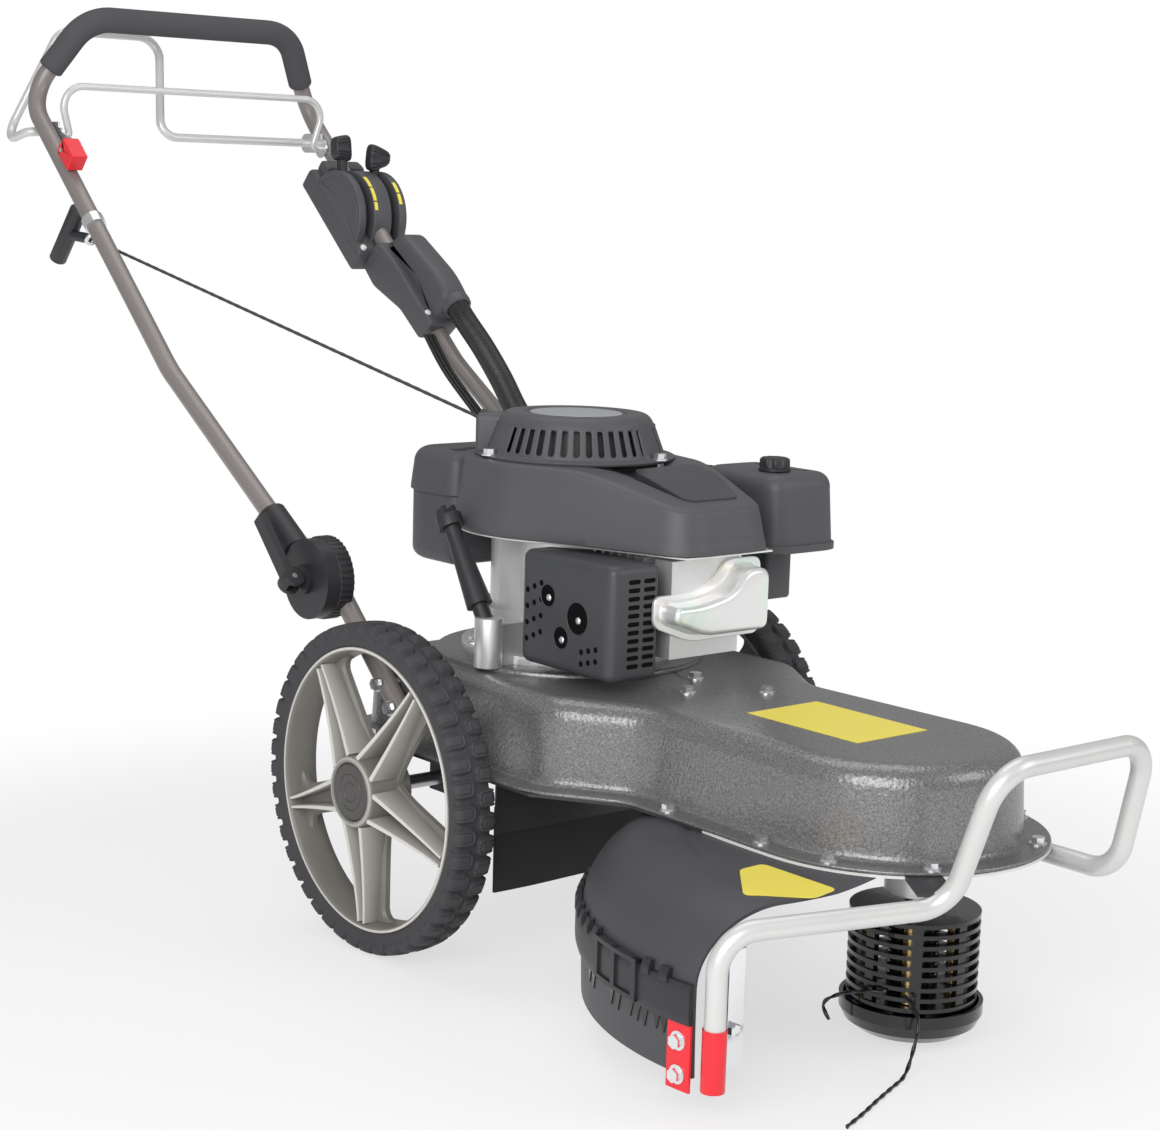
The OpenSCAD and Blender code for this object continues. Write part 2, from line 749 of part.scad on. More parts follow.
// Cutting head
housing_h = 46;
tip_d = 12;
tip_low = 14 - head_drop;

module spindle_housing() {
    color("#4a4a4d") at_head() difference() {
        union() {
            translate([0, 0, base_z - 8]) cylinder(r = 44, h = 8);
            translate([0, 0, base_z - housing_h]) cylinder(r = 30, h = housing_h);
        }
        translate([0, 0, base_z - housing_h - 1]) cylinder(d = spindle_d + 2 * run, h = housing_h + 2);
    }
}

module spindle() {
    color("#9a9a9c") at_head() {
        translate([0, 0, spool_low]) cylinder(d = spindle_d, h = belt_mid + belt_h - spool_low);
        translate([0, 0, tip_low]) cylinder(d = tip_d, h = spool_low - tip_low);
    }
}

module pulley(r, bore) {
    edge = r + belt_t + 3;
    h = belt_h / 2 + gap;
    translate([0, 0, belt_mid]) difference() {
        rotate_extrude() polygon([[0, -h - 3], [edge, -h - 3], [edge, -h], [r - gap, -h], [r - gap, h],
                                  [edge, h], [edge, h + 3], [0, h + 3]]);
        cylinder(d = bore + 2 * run, h = 4 * belt_h, center = true);
    }
}

module driven_pulley() {
    color("#77787a") at_head() pulley(driven_pulley_r, spindle_d);
}

module drive_pulley() {
    color("#77787a") at_crank() pulley(drive_pulley_r, crank_d);
}

// Both straight runs of the belt touch the two pulleys along a common tangent
module belt_outline(g) {
    reach = head_x - crank_x;
    a = acos((drive_pulley_r - driven_pulley_r) / reach);
    polygon(concat(arc([0, 0], drive_pulley_r + g, a, 360 - a, 24), arc([reach, 0], driven_pulley_r + g,
        -a, a, 24)));
}

module drive_belt() {
    color("#202022") at_crank() translate([0, 0, belt_mid - belt_h / 2])
        linear_extrude(belt_h) difference() {
        belt_outline(belt_t);
        belt_outline(0);
    }
}

spool_ring_h = 4;
spool_bars = 8;

module trimmer_spool() {
    step = (spool_h - spool_ring_h) / (spool_rings - 1);
    color("#1b1b1d") at_head() translate([0, 0, spool_low]) difference() {
        union() {
            for (i = [0:spool_rings - 1]) translate([0, 0, i * step]) rotate_extrude()
                translate([spool_r - 9, 0]) square([9, spool_ring_h]);
            for (i = [0:spool_bars - 1]) rotate(360 * i / spool_bars)
                translate([spool_r - 8, -5, 0]) cube([6, 10, spool_h]);
            cylinder(r = 24, h = spool_h);
            cylinder(r = spool_r - 1, h = spool_ring_h);
            translate([0, 0, spool_h - spool_ring_h]) cylinder(r = spool_r - 1, h = spool_ring_h);
        }
        translate([0, 0, -1]) cylinder(d = spindle_d + 2 * run, h = spool_h + 2);
    }
}

module glide_cup() {
    t = 4;
    flat_r = cup_r - 16;
    function dome(r) = dome_z - sqrt(cup_dome_r * cup_dome_r - r * r);
    rim_z = cup_h - head_drop;
    color("#161617") at_head() difference() {
        union() {
            rotate_extrude($fn = 96) polygon(concat(
                [for (i = [0:8]) let(r = flat_r * i / 8) [r, dome(r)]],
                [[cup_r - 5, dome(flat_r) + 8], [cup_r, dome(flat_r) + 18], [cup_r, rim_z], [cup_r - t,
                rim_z],
                 [cup_r - t, dome(flat_r) + 19], [cup_r - t - 5, dome(flat_r) + 11], [flat_r,
                 dome(flat_r) + t],
                 [0, dome(0) + t]]));
            translate([0, 0, dome(0) + t - 1]) cylinder(r = 16, h = rim_z - dome(0) - t + 1);
        }
        translate([0, 0, tip_low - 0.5]) cylinder(d = tip_d + 2 * run, h = cup_h);
    }
}

// Line ends in the ground frame, from the spool down to the floor
line_floor = line_d / 2 + 0.5;
line_near_route = [[575, -50, 57], [588, -55, 55], [599, -60, 48],
                   [606, -66, 36], [609, -75, 21], [613, -86, 8],
                   [619, -100, line_floor], [628, -122, line_floor], [642, -157, line_floor],
                   [656, -190, line_floor], [668, -222, line_floor]];
line_far_route = [[560, -59, 60], [550, -68, 59], [535, -73, 56],
                  [518, -76, 50], [504, -78, 42], [499, -78, 35],
                  [501, -77, 28], [505, -76, 22]];

module line_near() {
    color("#19191b") on_ground() solid_tube(line_near_route, line_d, 22, 8);
}

module line_far() {
    color("#19191b") on_ground() solid_tube(line_far_route, line_d, 12, 8);
}

// Engine
module crankshaft() {
    color("#9a9a9c") at_crank() translate([0, 0, belt_mid - belt_h])
        cylinder(d = crank_d, h = cowl_top - belt_mid);
}

fan_r = cowl_r - 32;
fan_z = cowl_z + 14;
fan_blades = 14;

module flywheel() {
    color("#8d8d8f") at_crank() translate([0, 0, fan_z]) difference() {
        union() {
            cylinder(r = fan_r, h = 14);
            cylinder(r = crank_d, h = 30);
            for (i = [0:fan_blades - 1]) rotate(360 * i / fan_blades)
                translate([fan_r - 34, -2, 0]) cube([32, 4, 38]);
        }
        translate([0, 0, -1]) cylinder(d = crank_d + 2 * run, h = 40);
    }
}

boss_at = [36, -140, 0];
boss_r = 15;
boss_h = 52;
case_flat = case_r - 4;
filler_dir = [-sin(filler_lean), 0, cos(filler_lean)];
filler_at = boss_at + [0, 0, engine_z + boss_h - 14];
filler_top = filler_at + filler_l * filler_dir;

module crankcase() {
    color("#b9b9ba") at_crank() difference() {
        translate([0, 0, engine_z]) {
            cylinder(r = sump_r, h = sump_t);
            cylinder(r = case_r + 10, h = 50);
            cylinder(r = case_r, h = case_h);
            translate(boss_at) cylinder(r = boss_r, h = boss_h);
            translate(boss_at + [-6, 0, 0]) cube([12, boss_r - boss_at.y - case_r, boss_h - 8]);
        }
        translate([case_flat, -case_r, engine_z + sump_t]) cube([40, 2 * case_r, case_h]);
        cylinder(d = crank_d + 2 * run, h = cowl_top);
        rod(filler_at, filler_at + filler_dir * filler_l, filler_d + 2 * seat);
        translate([-crank_x, 0, 0]) bolt_holes(engine_bolts);
    }
}

// Finned barrel and head on the crankcase's flat, with its axis pointing forwards
valve_back = valve_reach - valve_t;
head_back = valve_back - 26;
fins = 7;

module cylinder_head() {
    pitch_x = (head_back - case_flat) / (fins + 1);
    color("#a4a4a6") at_crank() translate([0, 0, bore_top]) {
        translate([case_flat, 0, 0]) rotate([0, 90, 0])
            cylinder(r = fin_half - 12, h = head_back - case_flat + 1);
        for (i = [1:fins]) translate([case_flat + i * pitch_x - 2, -fin_half, -fin_half])
            cube([4, 2 * fin_half, 2 * fin_half]);
        translate([head_back, 3 - fin_half, -fin_half])
            cube([valve_back - head_back, 2 * fin_half - 6, 2 * fin_half]);
    }
}

module valve_cover() {
    color("#d9e3de") at_crank() translate([valve_back, 0, bore_top]) rotate([90, 0, 90])
        linear_extrude(valve_t) {
        translate([0, -8]) rounded(146, 50, 14);
        translate([46, 4]) rounded(52, 88, 14);
    }
}

muffler_front = valve_back - gap;
muffler_back = muffler_front - muffler_l;
muffler_z = engine_z + sump_t + 1;
muffler_t = 2;
muffler_in = fin_half + 6;
slot_rows = 11;
port_x = 11;
port_d = 18;

// Sheet box that is open towards the cylinder: slots in its front, round holes in its right face
module muffler_guard() {
    step = (muffler_h - 24) / slot_rows;
    color("#3e3f43") at_crank() translate([0, 0, muffler_z]) difference() {
        linear_extrude(muffler_h) polygon([[muffler_back, -muffler_y], [muffler_front, -muffler_y],
            [muffler_front, -muffler_in], [muffler_back + 38, -muffler_in], [muffler_back, -case_r + 3]]);
        translate([muffler_back + muffler_t, muffler_t - muffler_y, muffler_t])
            cube([muffler_l - 2 * muffler_t, muffler_y, muffler_h - 2 * muffler_t]);
        for (y = [26, 46], i = [0:slot_rows - 1])
            translate([muffler_front - 10, y - 8 - muffler_y, 14 + i * step])
            cube([20, 16, step - 3.5]);
        for (h = [[0.32, 0.64, 22], [0.64, 0.5, 32], [0.47, 0.3, 22]])
            translate([muffler_back + h[0] * muffler_l, 10 - muffler_y, h[1] * muffler_h])
                rotate([90, 0, 0]) cylinder(d = h[2], h = 20);
        for (i = [0:2], k = [0:3])
            translate([muffler_back + 12 + i * 11, 10 - muffler_y, 26 + k * 17 + i * 5])
            rotate([90, 0, 0]) cylinder(d = 6, h = 20, $fn = 24);
        for (i = [0:2], k = [0:1])
            translate([muffler_front - 44 + i * 11, 10 - muffler_y, 12 + k * 12 + i * 3])
            rotate([90, 0, 0]) cylinder(d = 6, h = 20, $fn = 24);
    }
}

module muffler() {
    x0 = muffler_back + 44;
    l = muffler_front - 8 - x0;
    inside = muffler_y - muffler_t;
    depth = inside - muffler_in - 16;
    color("#6b6460") at_crank() translate([0, 0, muffler_z]) {
        translate([x0, 8 - inside, 12]) cube([l, depth, muffler_h - 24]);
        for (p = [[x0 + 10, 24], [x0 + l - 10, muffler_h - 24]]) translate([p[0], 9 - inside, p[1]])
            rotate([90, 0, 0]) cylinder(d = 9, h = 9);
        translate([head_back + port_x, 8 - inside + depth - 1, bore_top - muffler_z]) rotate([-90, 0, 0])
            cylinder(d = port_d, h = inside - 7 - depth - fin_half + 3);
    }
}

// Outline of the cowl: round over the flywheel, narrowing to its front end
front_half = 60;
front_shift = 14;

module cowl_outline(g) {
    circle(cowl_r + g, $fn = 96);
    polygon([[0, cowl_r + g], [0, -cowl_r - g], [cowl_reach + g, front_shift - front_half - g],
             [cowl_reach + g, front_shift + front_half + g]]);
}

module cowl_block(g, low, top) {
    start = recoil_r + 4;
    fall = atan(cowl_drop / (cowl_reach - start));
    difference() {
        translate([0, 0, low]) linear_extrude(top - low) cowl_outline(g);
        translate([start, -cowl_r - 9, top]) rotate([0, fall, 0])
            cube([2 * cowl_reach, 2 * cowl_r + 18, cowl_h]);
    }
}

module blower_plate() {
    color("#a9aba8") at_crank() difference() {
        translate([0, 0, case_top]) linear_extrude(blower_t) cowl_outline(0);
        cylinder(r = crank_d, h = cowl_top);
    }
}

module engine_cowl() {
    color("#4a4a4f") at_crank() difference() {
        cowl_block(0, cowl_z, cowl_top);
        cowl_block(-cover_t, cowl_z - 1, cowl_top - cover_t);
        cylinder(r = recoil_r - 18, h = cowl_top + 1);
        translate([-crank_x, 0, 0]) bolt_holes(recoil_bolts);
    }
}

rope_a = 228;
rope_r = recoil_r - 2;
rope_exit = [crank_x + rope_r * cos(rope_a), rope_r * sin(rope_a), cowl_top + recoil_h - 9];

module recoil_cover() {
    t = cover_t;
    foot = recoil_r - 12;
    edge = recoil_r - 24;
    flat = recoil_r - 34;
    color("#3b3b3f") at_crank() translate([0, 0, cowl_top]) difference() {
        union() {
            rotate_extrude($fn = 96) polygon([[recoil_r, 0], [recoil_r, t], [foot, t], [edge, recoil_h - 9],
                [flat, recoil_h], [0, recoil_h], [0, recoil_h - t], [flat - 1, recoil_h - t],
                [edge - t, recoil_h - 10], [foot - t, 0]]);
            rotate(rope_a) translate([flat - 10, -15, 0]) cube([rope_r - flat + 10, 30, recoil_h - 4]);
        }
        for (i = [0:recoil_slots - 1]) if (abs(360 * i / recoil_slots - rope_a) > 20)
            rotate(360 * i / recoil_slots) translate([edge - 6, -2.5, 10]) cube([30, 5, recoil_h - 23]);
        translate([-crank_x, 0, -cowl_top]) {
            bolt_holes(recoil_bolts);
            each_bolt(recoil_bolts) cylinder(d = washer_d + 2 * gap, h = recoil_h);
        }
    }
}

// Fuel tank behind the cowl, cut to the cowl's round back
tank_front = cowl_r - 31;
tank_z = cowl_top - 3 - tank_h;
tank_cover_h = 48;
tank_mid = -(tank_back + tank_front) / 2;
neck_at = [tank_mid - 14, 44, tank_z + tank_h];
neck_r = 19;
neck_h = 8;

module fuel_tank() {
    l = tank_back - tank_front;
    color("#46464a") at_crank() difference() {
        union() {
            translate([tank_mid, 0, tank_z]) slab(l, 2 * tank_half, tank_h - tank_cover_h, 34);
            translate([tank_mid, 0, tank_z + tank_h - tank_cover_h])
                slab(l + 6, 2 * tank_half + 8, tank_cover_h, 38);
            translate(neck_at) cylinder(r = neck_r, h = neck_h);
        }
        translate([0, 0, case_top - 1]) cylinder(r = cowl_r + seat, h = tank_h, $fn = 96);
    }
}

module fuel_cap() {
    color("#2a2a2d") at_crank() translate(neck_at + [0, 0, gap]) difference() {
        union() {
            cylinder(r = neck_r + 6, h = 18);
            for (i = [0:11]) rotate(30 * i) translate([neck_r + 5, -2, 0]) cube([3, 4, 18]);
        }
        translate([0, 0, -1]) cylinder(r = neck_r + run, h = neck_h + 1);
    }
}

filler_bore = filler_d - 5;

module filler_tube() {
    color("#222224") at_crank() difference() {
        union() {
            rod(filler_at, filler_top, filler_d);
            aim(filler_at + 29 * filler_dir, filler_dir)
                cylinder(d1 = filler_d + 10, d2 = filler_d, h = filler_l - 40);
        }
        rod(filler_at - 1 * filler_dir, filler_top + 1 * filler_dir, filler_bore);
    }
}

module dipstick() {
    color("#1d1d1f") at_crank() aim(filler_top, filler_dir) {
        translate([0, 0, gap]) cylinder(d = filler_d + 10, h = 13);
        for (s = [-1, 1]) translate([-7, s * 6 - 2, gap + 12]) cube([14, 4, 11]);
        translate([0, 0, 14 - filler_l]) cylinder(d = 5, h = filler_l - 13);
    }
}

filter_x = 45;
filter_z = cowl_z - 18;
filter_mid = [filter_x + filter_l / 2, filter_y + filter_w / 2, filter_z];
carb_x = filter_x + filter_l - 33;
duct_y = filter_y + 6;

module carburettor() {
    color("#8f8f90") at_crank() translate([carb_x, 0, bore_top]) {
        rotate([-90, 0, 0]) translate([0, 0, fin_half]) cylinder(r = 19, h = duct_y - fin_half);
        translate([-22, fin_half, -22]) cube([44, 6, 44]);
        translate([0, (fin_half + duct_y) / 2, -44]) cylinder(r = 20, h = 40);
    }
}

module air_filter_box() {
    lip = 8;
    color("#4c4c50") at_crank() difference() {
        union() {
            translate(filter_mid) slab(filter_l + 6, filter_w + 6, lip, 18);
            translate(filter_mid) slab(filter_l, filter_w, filter_h - 10, 16);
            translate(filter_mid) slab(filter_l - 14, filter_w - 14, filter_h, 12);
            translate([carb_x - 22, duct_y, bore_top - 26]) cube([44, 40, filter_z - bore_top + 27]);
        }
        translate(filter_mid + [0, 0, lip]) slab(filter_l - 20, filter_w - 20, filter_h - lip - 12, 8);
        translate(knob_at - [0, 0, 14]) cylinder(d = knob_pin + 2 * run, h = 20);
    }
}

knob_at = filter_mid + [26, -14, filter_h];
knob_pin = 8;

module filter_knob() {
    color("#2d2d30") at_crank() translate(knob_at) {
        translate([0, 0, gap]) cylinder(r = 18, h = 8);
        translate([-16, -4, gap + 7]) cube([32, 8, 9]);
        translate([0, 0, -11]) cylinder(d = knob_pin, h = 13);
    }
}

// Handle hinge: the chassis carries the inner discs, the upper handle the outer ones
hinge_bolt_d = 10;
pin_d = 6;
sleeve_d = tube_d + 12;
neck_y = disc_y + knuckle_t / 2;
washer_t = 6;
cam_y = disc_y + knuckle_t + washer_t + gap;
cam_r = 12;
cam_w = 20;
cam_l = 86;
cam_rake = 46;
tube_start = hinge + (knuckle_r + 7) * lower_dir;

module hinge_knuckles() {
    sleeve = hinge + (knuckle_r + 2) * lower_dir;
    color("#4b4a4e") on_chassis() both_sides() difference() {
        union() {
            translate(at_y(hinge, disc_y)) rotate([-90, 0, 0]) cylinder(r = knuckle_r, h = knuckle_t);
            translate(at_y(hinge, disc_y)) rotate([-90, 0, 0])
                cylinder(r = cam_r + 4, h = knuckle_t + washer_t);
            rod(at_y(hinge, neck_y), at_y(tube_start + 8 * lower_dir, neck_y), knuckle_t - 3);
            rod(at_y(sleeve, handle_half), at_y(sleeve + sleeve_l * lower_dir, handle_half), sleeve_d);
        }
        rod(at_y(tube_start, handle_half), at_y(sleeve + (sleeve_l + 9) * lower_dir, handle_half),
            tube_d + 2 * seat);
        translate(at_y(hinge, disc_y - 1)) rotate([-90, 0, 0])
            cylinder(d = hinge_bolt_d + 2 * run, h = knuckle_t + washer_t + 2);
    }
}

module at_cam(side) {
    on_chassis() mirror([0, side < 0 ? 1 : 0, 0])
        translate(at_y(hinge, cam_y)) rotate([0, cam_rake - 180, 0])
        children();
}

module lower_handles() {
    disc_in = disc_y - gap - knuckle_t;
    foot = hinge + lower_tube_l * lower_tube_dir;
    color("#77726f") {
        on_chassis() difference() {
            both_sides() difference() {
                union() {
                    translate(at_y(hinge, disc_in)) rotate([-90, 0, 0])
                        cylinder(r = knuckle_r, h = knuckle_t);
                    rod(at_y(hinge, lower_tube_y), at_y(foot, lower_tube_y), tube_d);
                    translate(at_y(hinge, disc_in)) rotate([-90, 0, 0])
                        cylinder(d = hinge_bolt_d, h = cam_y + cam_r + hinge_bolt_d / 2 - disc_in);
                }
                rod(at_y(hinge + (knuckle_r + 4) * lower_tube_dir, lower_tube_y),
                    at_y(foot + lower_tube_dir, lower_tube_y), tube_d - 2 * tube_t);
            }
            bolt_holes(tube_bolts);
        }
        for (s = [-1, 1]) at_cam(s) translate([0, cam_r, 0])
            cylinder(d = pin_d, h = cam_w - 0.4, center = true);
    }
}

module cam_lever(side) {
    slot = hinge_bolt_d + 2 * gap;
    color("#2b2b2e") at_cam(side) difference() {
        union() {
            translate([0, cam_r, 0]) cylinder(r = cam_r, h = cam_w, center = true);
            translate([0, cam_r - 2, -8]) cube([cam_l, 9, 16]);
        }
        translate([0, cam_r, 0]) cylinder(d = pin_d + 2 * run, h = cam_w + 2, center = true);
        translate([-2 * cam_r, -1, -slot / 2]) cube([2 * cam_r + 8, cam_r + 9, slot]);
    }
}

// Upper handle: one bent tube with a foam grip round its loop
loop_bend = 55;
knee_bend = 150;
function side_points(s) = [at_y(tube_start, s * handle_half), at_y(bend_at, s * handle_half),
                           at_y(elbow_at, s * handle_half), at_y(grip_at, s * grip_half)];
left_points = side_points(1);
handle_route = concat(side_points(-1), [for (i = [3:-1:0]) left_points[i]]);
handle_bends = [knee_bend, loop_bend, loop_bend, loop_bend, loop_bend, knee_bend];
foam_start = 43;
function foam_end(s) = let(a = at_y(elbow_at, s * handle_half), b = at_y(grip_at, s * grip_half))
    a + foam_start * unit(b - a);
foam_route = [foam_end(-1), at_y(grip_at, -grip_half), at_y(grip_at, grip_half), foam_end(1)];

module handle_bar() {
    color("#77726f") on_chassis() bent_tube(handle_route, handle_bends, tube_d, tube_d - 2 * tube_t);
}

module foam_grip() {
    color("#4b4a4e") on_chassis() bent_tube(foam_route, [loop_bend, loop_bend], foam_d, tube_d + 2 * seat);
}

// Bails and their brackets on the inner faces of the side tubes
plate_y = handle_half - tube_d / 2 - seat;
off_tube = [sin(upper_rake), 0, cos(upper_rake)];
catch_at = brake_at - 48 * upper_dir + 22 * off_tube;
catch_w = 22;
guide_s = 250;
guide_n = -28;
guide_in = 8;
ring_mid_r = 8;
ring_d = 5;

module side_plate(catch) {
    translate([0, plate_y, 0]) rotate([90, 0, 0]) linear_extrude(bracket_t) difference() {
        union() {
            translate([brake_at.x, brake_at.z]) circle(13);
            translate([drive_at.x, drive_at.z]) circle(13);
            translate([drive_at.x, drive_at.z - 13]) square([drive_back, 26]);
            if (catch) {
                translate([catch_at.x, catch_at.z]) circle(11);
                polygon([for (p = [catch_at - 9 * off_tube, catch_at + 9 * off_tube,
                         brake_at + 11 * off_tube,
                                   brake_at - 11 * off_tube]) [p.x, p.z]]);
            }
        }
        translate([brake_at.x, brake_at.z]) circle(d = brake_rod_d + 2 * run);
        translate([drive_at.x, drive_at.z]) circle(d = drive_rod_d + 2 * run);
    }
}

module handle_brackets() {
    color("#8b8a88") {
        on_chassis() {
            side_plate(false);
            mirror([0, 1, 0]) side_plate(true);
            translate(at_y(catch_at, -plate_y + 1)) rotate([90, 0, 0]) cylinder(d = pin_d, h = catch_w + 2);
        }
        on_tube(-1) {
            difference() {
                union() {
                    translate([guide_s - 7, 0, 0]) rotate([0, 90, 0]) cylinder(d = tube_d + 5, h = 14);
                    translate([guide_s, guide_in, guide_n + ring_mid_r])
                        cylinder(d = ring_d, h = -guide_n - ring_mid_r);
                }
                translate([guide_s - 9, 0, 0]) rotate([0, 90, 0]) cylinder(d = tube_d + 2 * seat, h = 18);
            }
            translate([guide_s, guide_in, guide_n]) rotate([0, 90, 0]) rotate_extrude()
                translate([ring_mid_r, 0]) circle(d = ring_d);
        }
    }
}

module bail_catch() {
    color("#e8383f") on_chassis() translate(at_y(catch_at, -plate_y - gap)) rotate([90, 0, 0])
        linear_extrude(catch_w) difference() {
            union() {
                circle(9);
                rotate(-upper_rake) translate([-6, -9]) square([34, 24]);
            }
            circle(d = pin_d + 2 * run);
        }
}

brake_half = handle_half - 28;
brake_wide = handle_half - 9;
brake_top = brake_at + [6, 0, brake_h];
brake_route = [at_y(brake_at, -plate_y + 1), at_y(brake_at, -brake_half), at_y(brake_top, -brake_wide),
               at_y(brake_top, brake_wide), at_y(brake_at, brake_half), at_y(brake_at, plate_y - 1)];

module brake_bail() {
    color("#bdbab8") on_chassis() bent_rod(brake_route, [7, 26, 26, 7], brake_rod_d);
}

drive_in = 150;
drive_mid = 4;
drive_low = 32;
drive_route = [at_y(drive_at, plate_y), at_y(drive_at, -drive_low), at_y(drive_top, -drive_mid),
               at_y(drive_top, -drive_in), at_y(arm_back, -arm_y), at_y(drive_at, -arm_y),
               at_y(drive_at, -plate_y + 9)];

module drive_bail() {
    color("#bdbab8") on_chassis() bent_rod(drive_route, [20, 26, 26, 26, 11], drive_rod_d);
}

// Control box and its two levers, in the left tube's own frame
control_s = 211;
control_low = 43;
control_top = 8;
lever_pin = 8;
lever_y = tube_d / 2 + 4 + lever_t / 2;
lever_slot = lever_t + 2 * gap;

module across(w) {
    translate([0, w / 2, 0]) rotate([90, 0, 0]) linear_extrude(w) children();
}

module control_box() {
    color("#4a4a4e") on_tube(1) {
        difference() {
            across(control_w) {
                translate([control_s, -control_low]) square([control_l, control_low - control_top]);
                intersection() {
                    translate([lever_s, -lever_n]) circle(quadrant_r);
                    translate([control_s, -control_top - 1]) square([control_l, 2 * quadrant_r]);
                }
            }
            rotate([0, 90, 0]) cylinder(d = tube_d + 2 * seat, h = 2 * lever_s);
            for (s = [-1, 1]) translate([lever_s, s * lever_y, -lever_n]) rotate([90, 0, 0])
                cylinder(r = quadrant_r - 6, h = lever_slot, center = true);
            for (s = [-1, 1]) translate([lever_s, s * lever_y - lever_slot / 2, 0])
                cube([quadrant_r + 1, lever_slot, quadrant_r]);
            for (s = [-1, 1]) translate([lever_s - quadrant_r / 2, s * lever_y - lever_slot / 2, 0])
                cube([quadrant_r, lever_slot, quadrant_r]);
        }
        translate([lever_s, 0, -lever_n]) rotate([90, 0, 0])
            cylinder(d = lever_pin, h = control_w - 2, center = true);
    }
}

module control_lever(y, rise, reach) {
    on_tube(1) translate([lever_s, y, -lever_n]) rotate([0, -rise, 0]) difference() {
        union() {
            rotate([90, 0, 0]) cylinder(r = 13, h = lever_t, center = true);
            translate([0, -lever_t / 2, -5]) cube([reach - 10, lever_t, 10]);
            translate([reach - 24, -13, -9]) cube([32, 26, 18]);
        }
        rotate([90, 0, 0]) cylinder(d = lever_pin + 2 * run, h = lever_t + 2, center = true);
    }
}

module throttle_lever() {
    color("#1d1d1f") control_lever(lever_y, 41, lever_l + 6);
}

module drive_lever() {
    color("#1d1d1f") control_lever(-lever_y, 56, lever_l - 6);
}

intake_w = 48;
intake_s = 48;
intake_low = 14;
intake_deep = 38;
intake_top = 20;
intake_mid = 112;
hump_w = 36;
hump_y = -8;
hump_s = 58;
hump_top = 64;
hump_wall = 3;
intake_end = control_s - gap;

module intake_box() {
    color("#44444a") on_tube(1) difference() {
        union() {
            across(intake_w) polygon([[intake_s + 6, -intake_low], [intake_mid, -intake_low - 3],
                [intake_end - 34, -intake_deep], [intake_end, 2 - intake_deep], [intake_end,
                intake_top - 8],
                [intake_end - 40, intake_top], [intake_s, intake_top]]);
            translate([0, hump_y, 0]) across(hump_w) polygon([[hump_s, intake_top - 10], [hump_s, hump_top],
                [hump_s + 42, hump_top - 2], [intake_end - 14, hump_top - 20], [intake_end - 4,
                intake_top - 8]]);
        }
        translate([0, hump_y, 0]) across(hump_w - 2 * hump_wall) polygon([[hump_s + 4, intake_top],
            [hump_s + 4, hump_top - 4], [hump_s + 40, hump_top - 6], [intake_end - 20, hump_top - 24],
            [intake_end - 14, intake_top]]);
        translate([intake_s - 18, 0, 0]) rotate([0, 90, 0])
            cylinder(d = tube_d + 2 * seat, h = 2 * lever_s);
    }
}

// Soft pieces
function beside_tube(x, inwards, z) = [x, handle_half - inwards, z];
hose_gap = 1.2;
hose_n = 46;
hose_start = bend_at + (hump_s - hose_gap) * upper_dir + hose_n * off_tube + [0, handle_half - hump_y, 0];
hose_route = [hose_start, hose_start - hose_d * upper_dir, beside_tube(-420, -3, 421), beside_tube(-365,
              10, 386),
              beside_tube(-318, 22, 352), [-270, 179, 322], [-200, 173, 300], [-120, 171, 292], [-45, 172,
                  296],
              [10, 176, 304], [40, 179, 308], [69.6, 179, 308]];
cable_route = [beside_tube(-506, 21, 432), beside_tube(-462, 22, 389), beside_tube(-400, 23, 345),
               beside_tube(-317, 27, 291), [-250, 176, 245], [-180, 164, 222], [-110, 150, 214], [-40,
                   134, 210],
               [40, 116, 208], [110, 102, 206], [153, 100, 206]];
cables = 3;

module intake_hose() {
    color("#1e1e20") on_chassis() ribbed_tube(hose_route, hose_d, hose_bore, rib_pitch, 8);
}

module control_cables() {
    color("#202022") on_chassis() for (i = [0:cables - 1])
        translate([0, (i - 1) * (cable_d + 1), 0]) solid_tube(cable_route, cable_d, 44, 8);
}

guide_at = at_y(bend_at + guide_s * upper_dir + guide_n * off_tube, guide_in - handle_half);

module starter_rope() {
    color("#d8d6d2") on_chassis() rod(guide_at, rope_exit, rope_d);
}

grip_s = 300;
grip_n = -68;
stem_d = 13;
stem_start = 12;
rope_break = 1;

module starter_grip() {
    along = unit([grip_s - guide_s, 0, grip_n - guide_n]);
    color("#1f1f21") on_tube(-1) {
        rod([guide_s, guide_in, guide_n] + rope_break * along, [grip_s, guide_in, grip_n], rope_d);
        rod([guide_s, guide_in, guide_n] + stem_start * along, [grip_s, guide_in, grip_n], stem_d);
        translate([grip_s, guide_in, grip_n - starter_l / 2]) cylinder(d = starter_d, h = starter_l);
    }
}

deck_cover();
base_plate();
hex_bolts();
guard_dome();
guard_strap();
guard_skirt();
guard_end_plate();
bumper_bar();
bumper_cap();
rear_flap();
axle();
gearbox();
spindle_housing();
lower_handles();
crankcase();
cylinder_head();
valve_cover();
muffler();
muffler_guard();
blower_plate();
engine_cowl();
recoil_cover();
fuel_tank();
filler_tube();
carburettor();
air_filter_box();
drive_belt();
intake_hose();
control_cables();
starter_rope();
crankshaft();
flywheel();
drive_pulley();
spindle();
driven_pulley();
trimmer_spool();
line_near();
line_far();
glide_cup();
tyre(1);  // tyre_left
rim(1);  // rim_left
tyre(-1);  // tyre_right
rim(-1);  // rim_right
handle_bar();
foam_grip();
hinge_knuckles();
control_box();
intake_box();
handle_brackets();
drive_bail();
brake_bail();
bail_catch();
cam_lever(1);  // cam_lever_left
cam_lever(-1);  // cam_lever_right
throttle_lever();
drive_lever();
starter_grip();
dipstick();
fuel_cap();
filter_knob();
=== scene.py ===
"""Looks of a petrol wheeled string trimmer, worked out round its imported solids."""
import json
import math

import bpy
import numpy as np
from bpy.props import FloatProperty, FloatVectorProperty, IntProperty, PointerProperty
from mathutils import Matrix


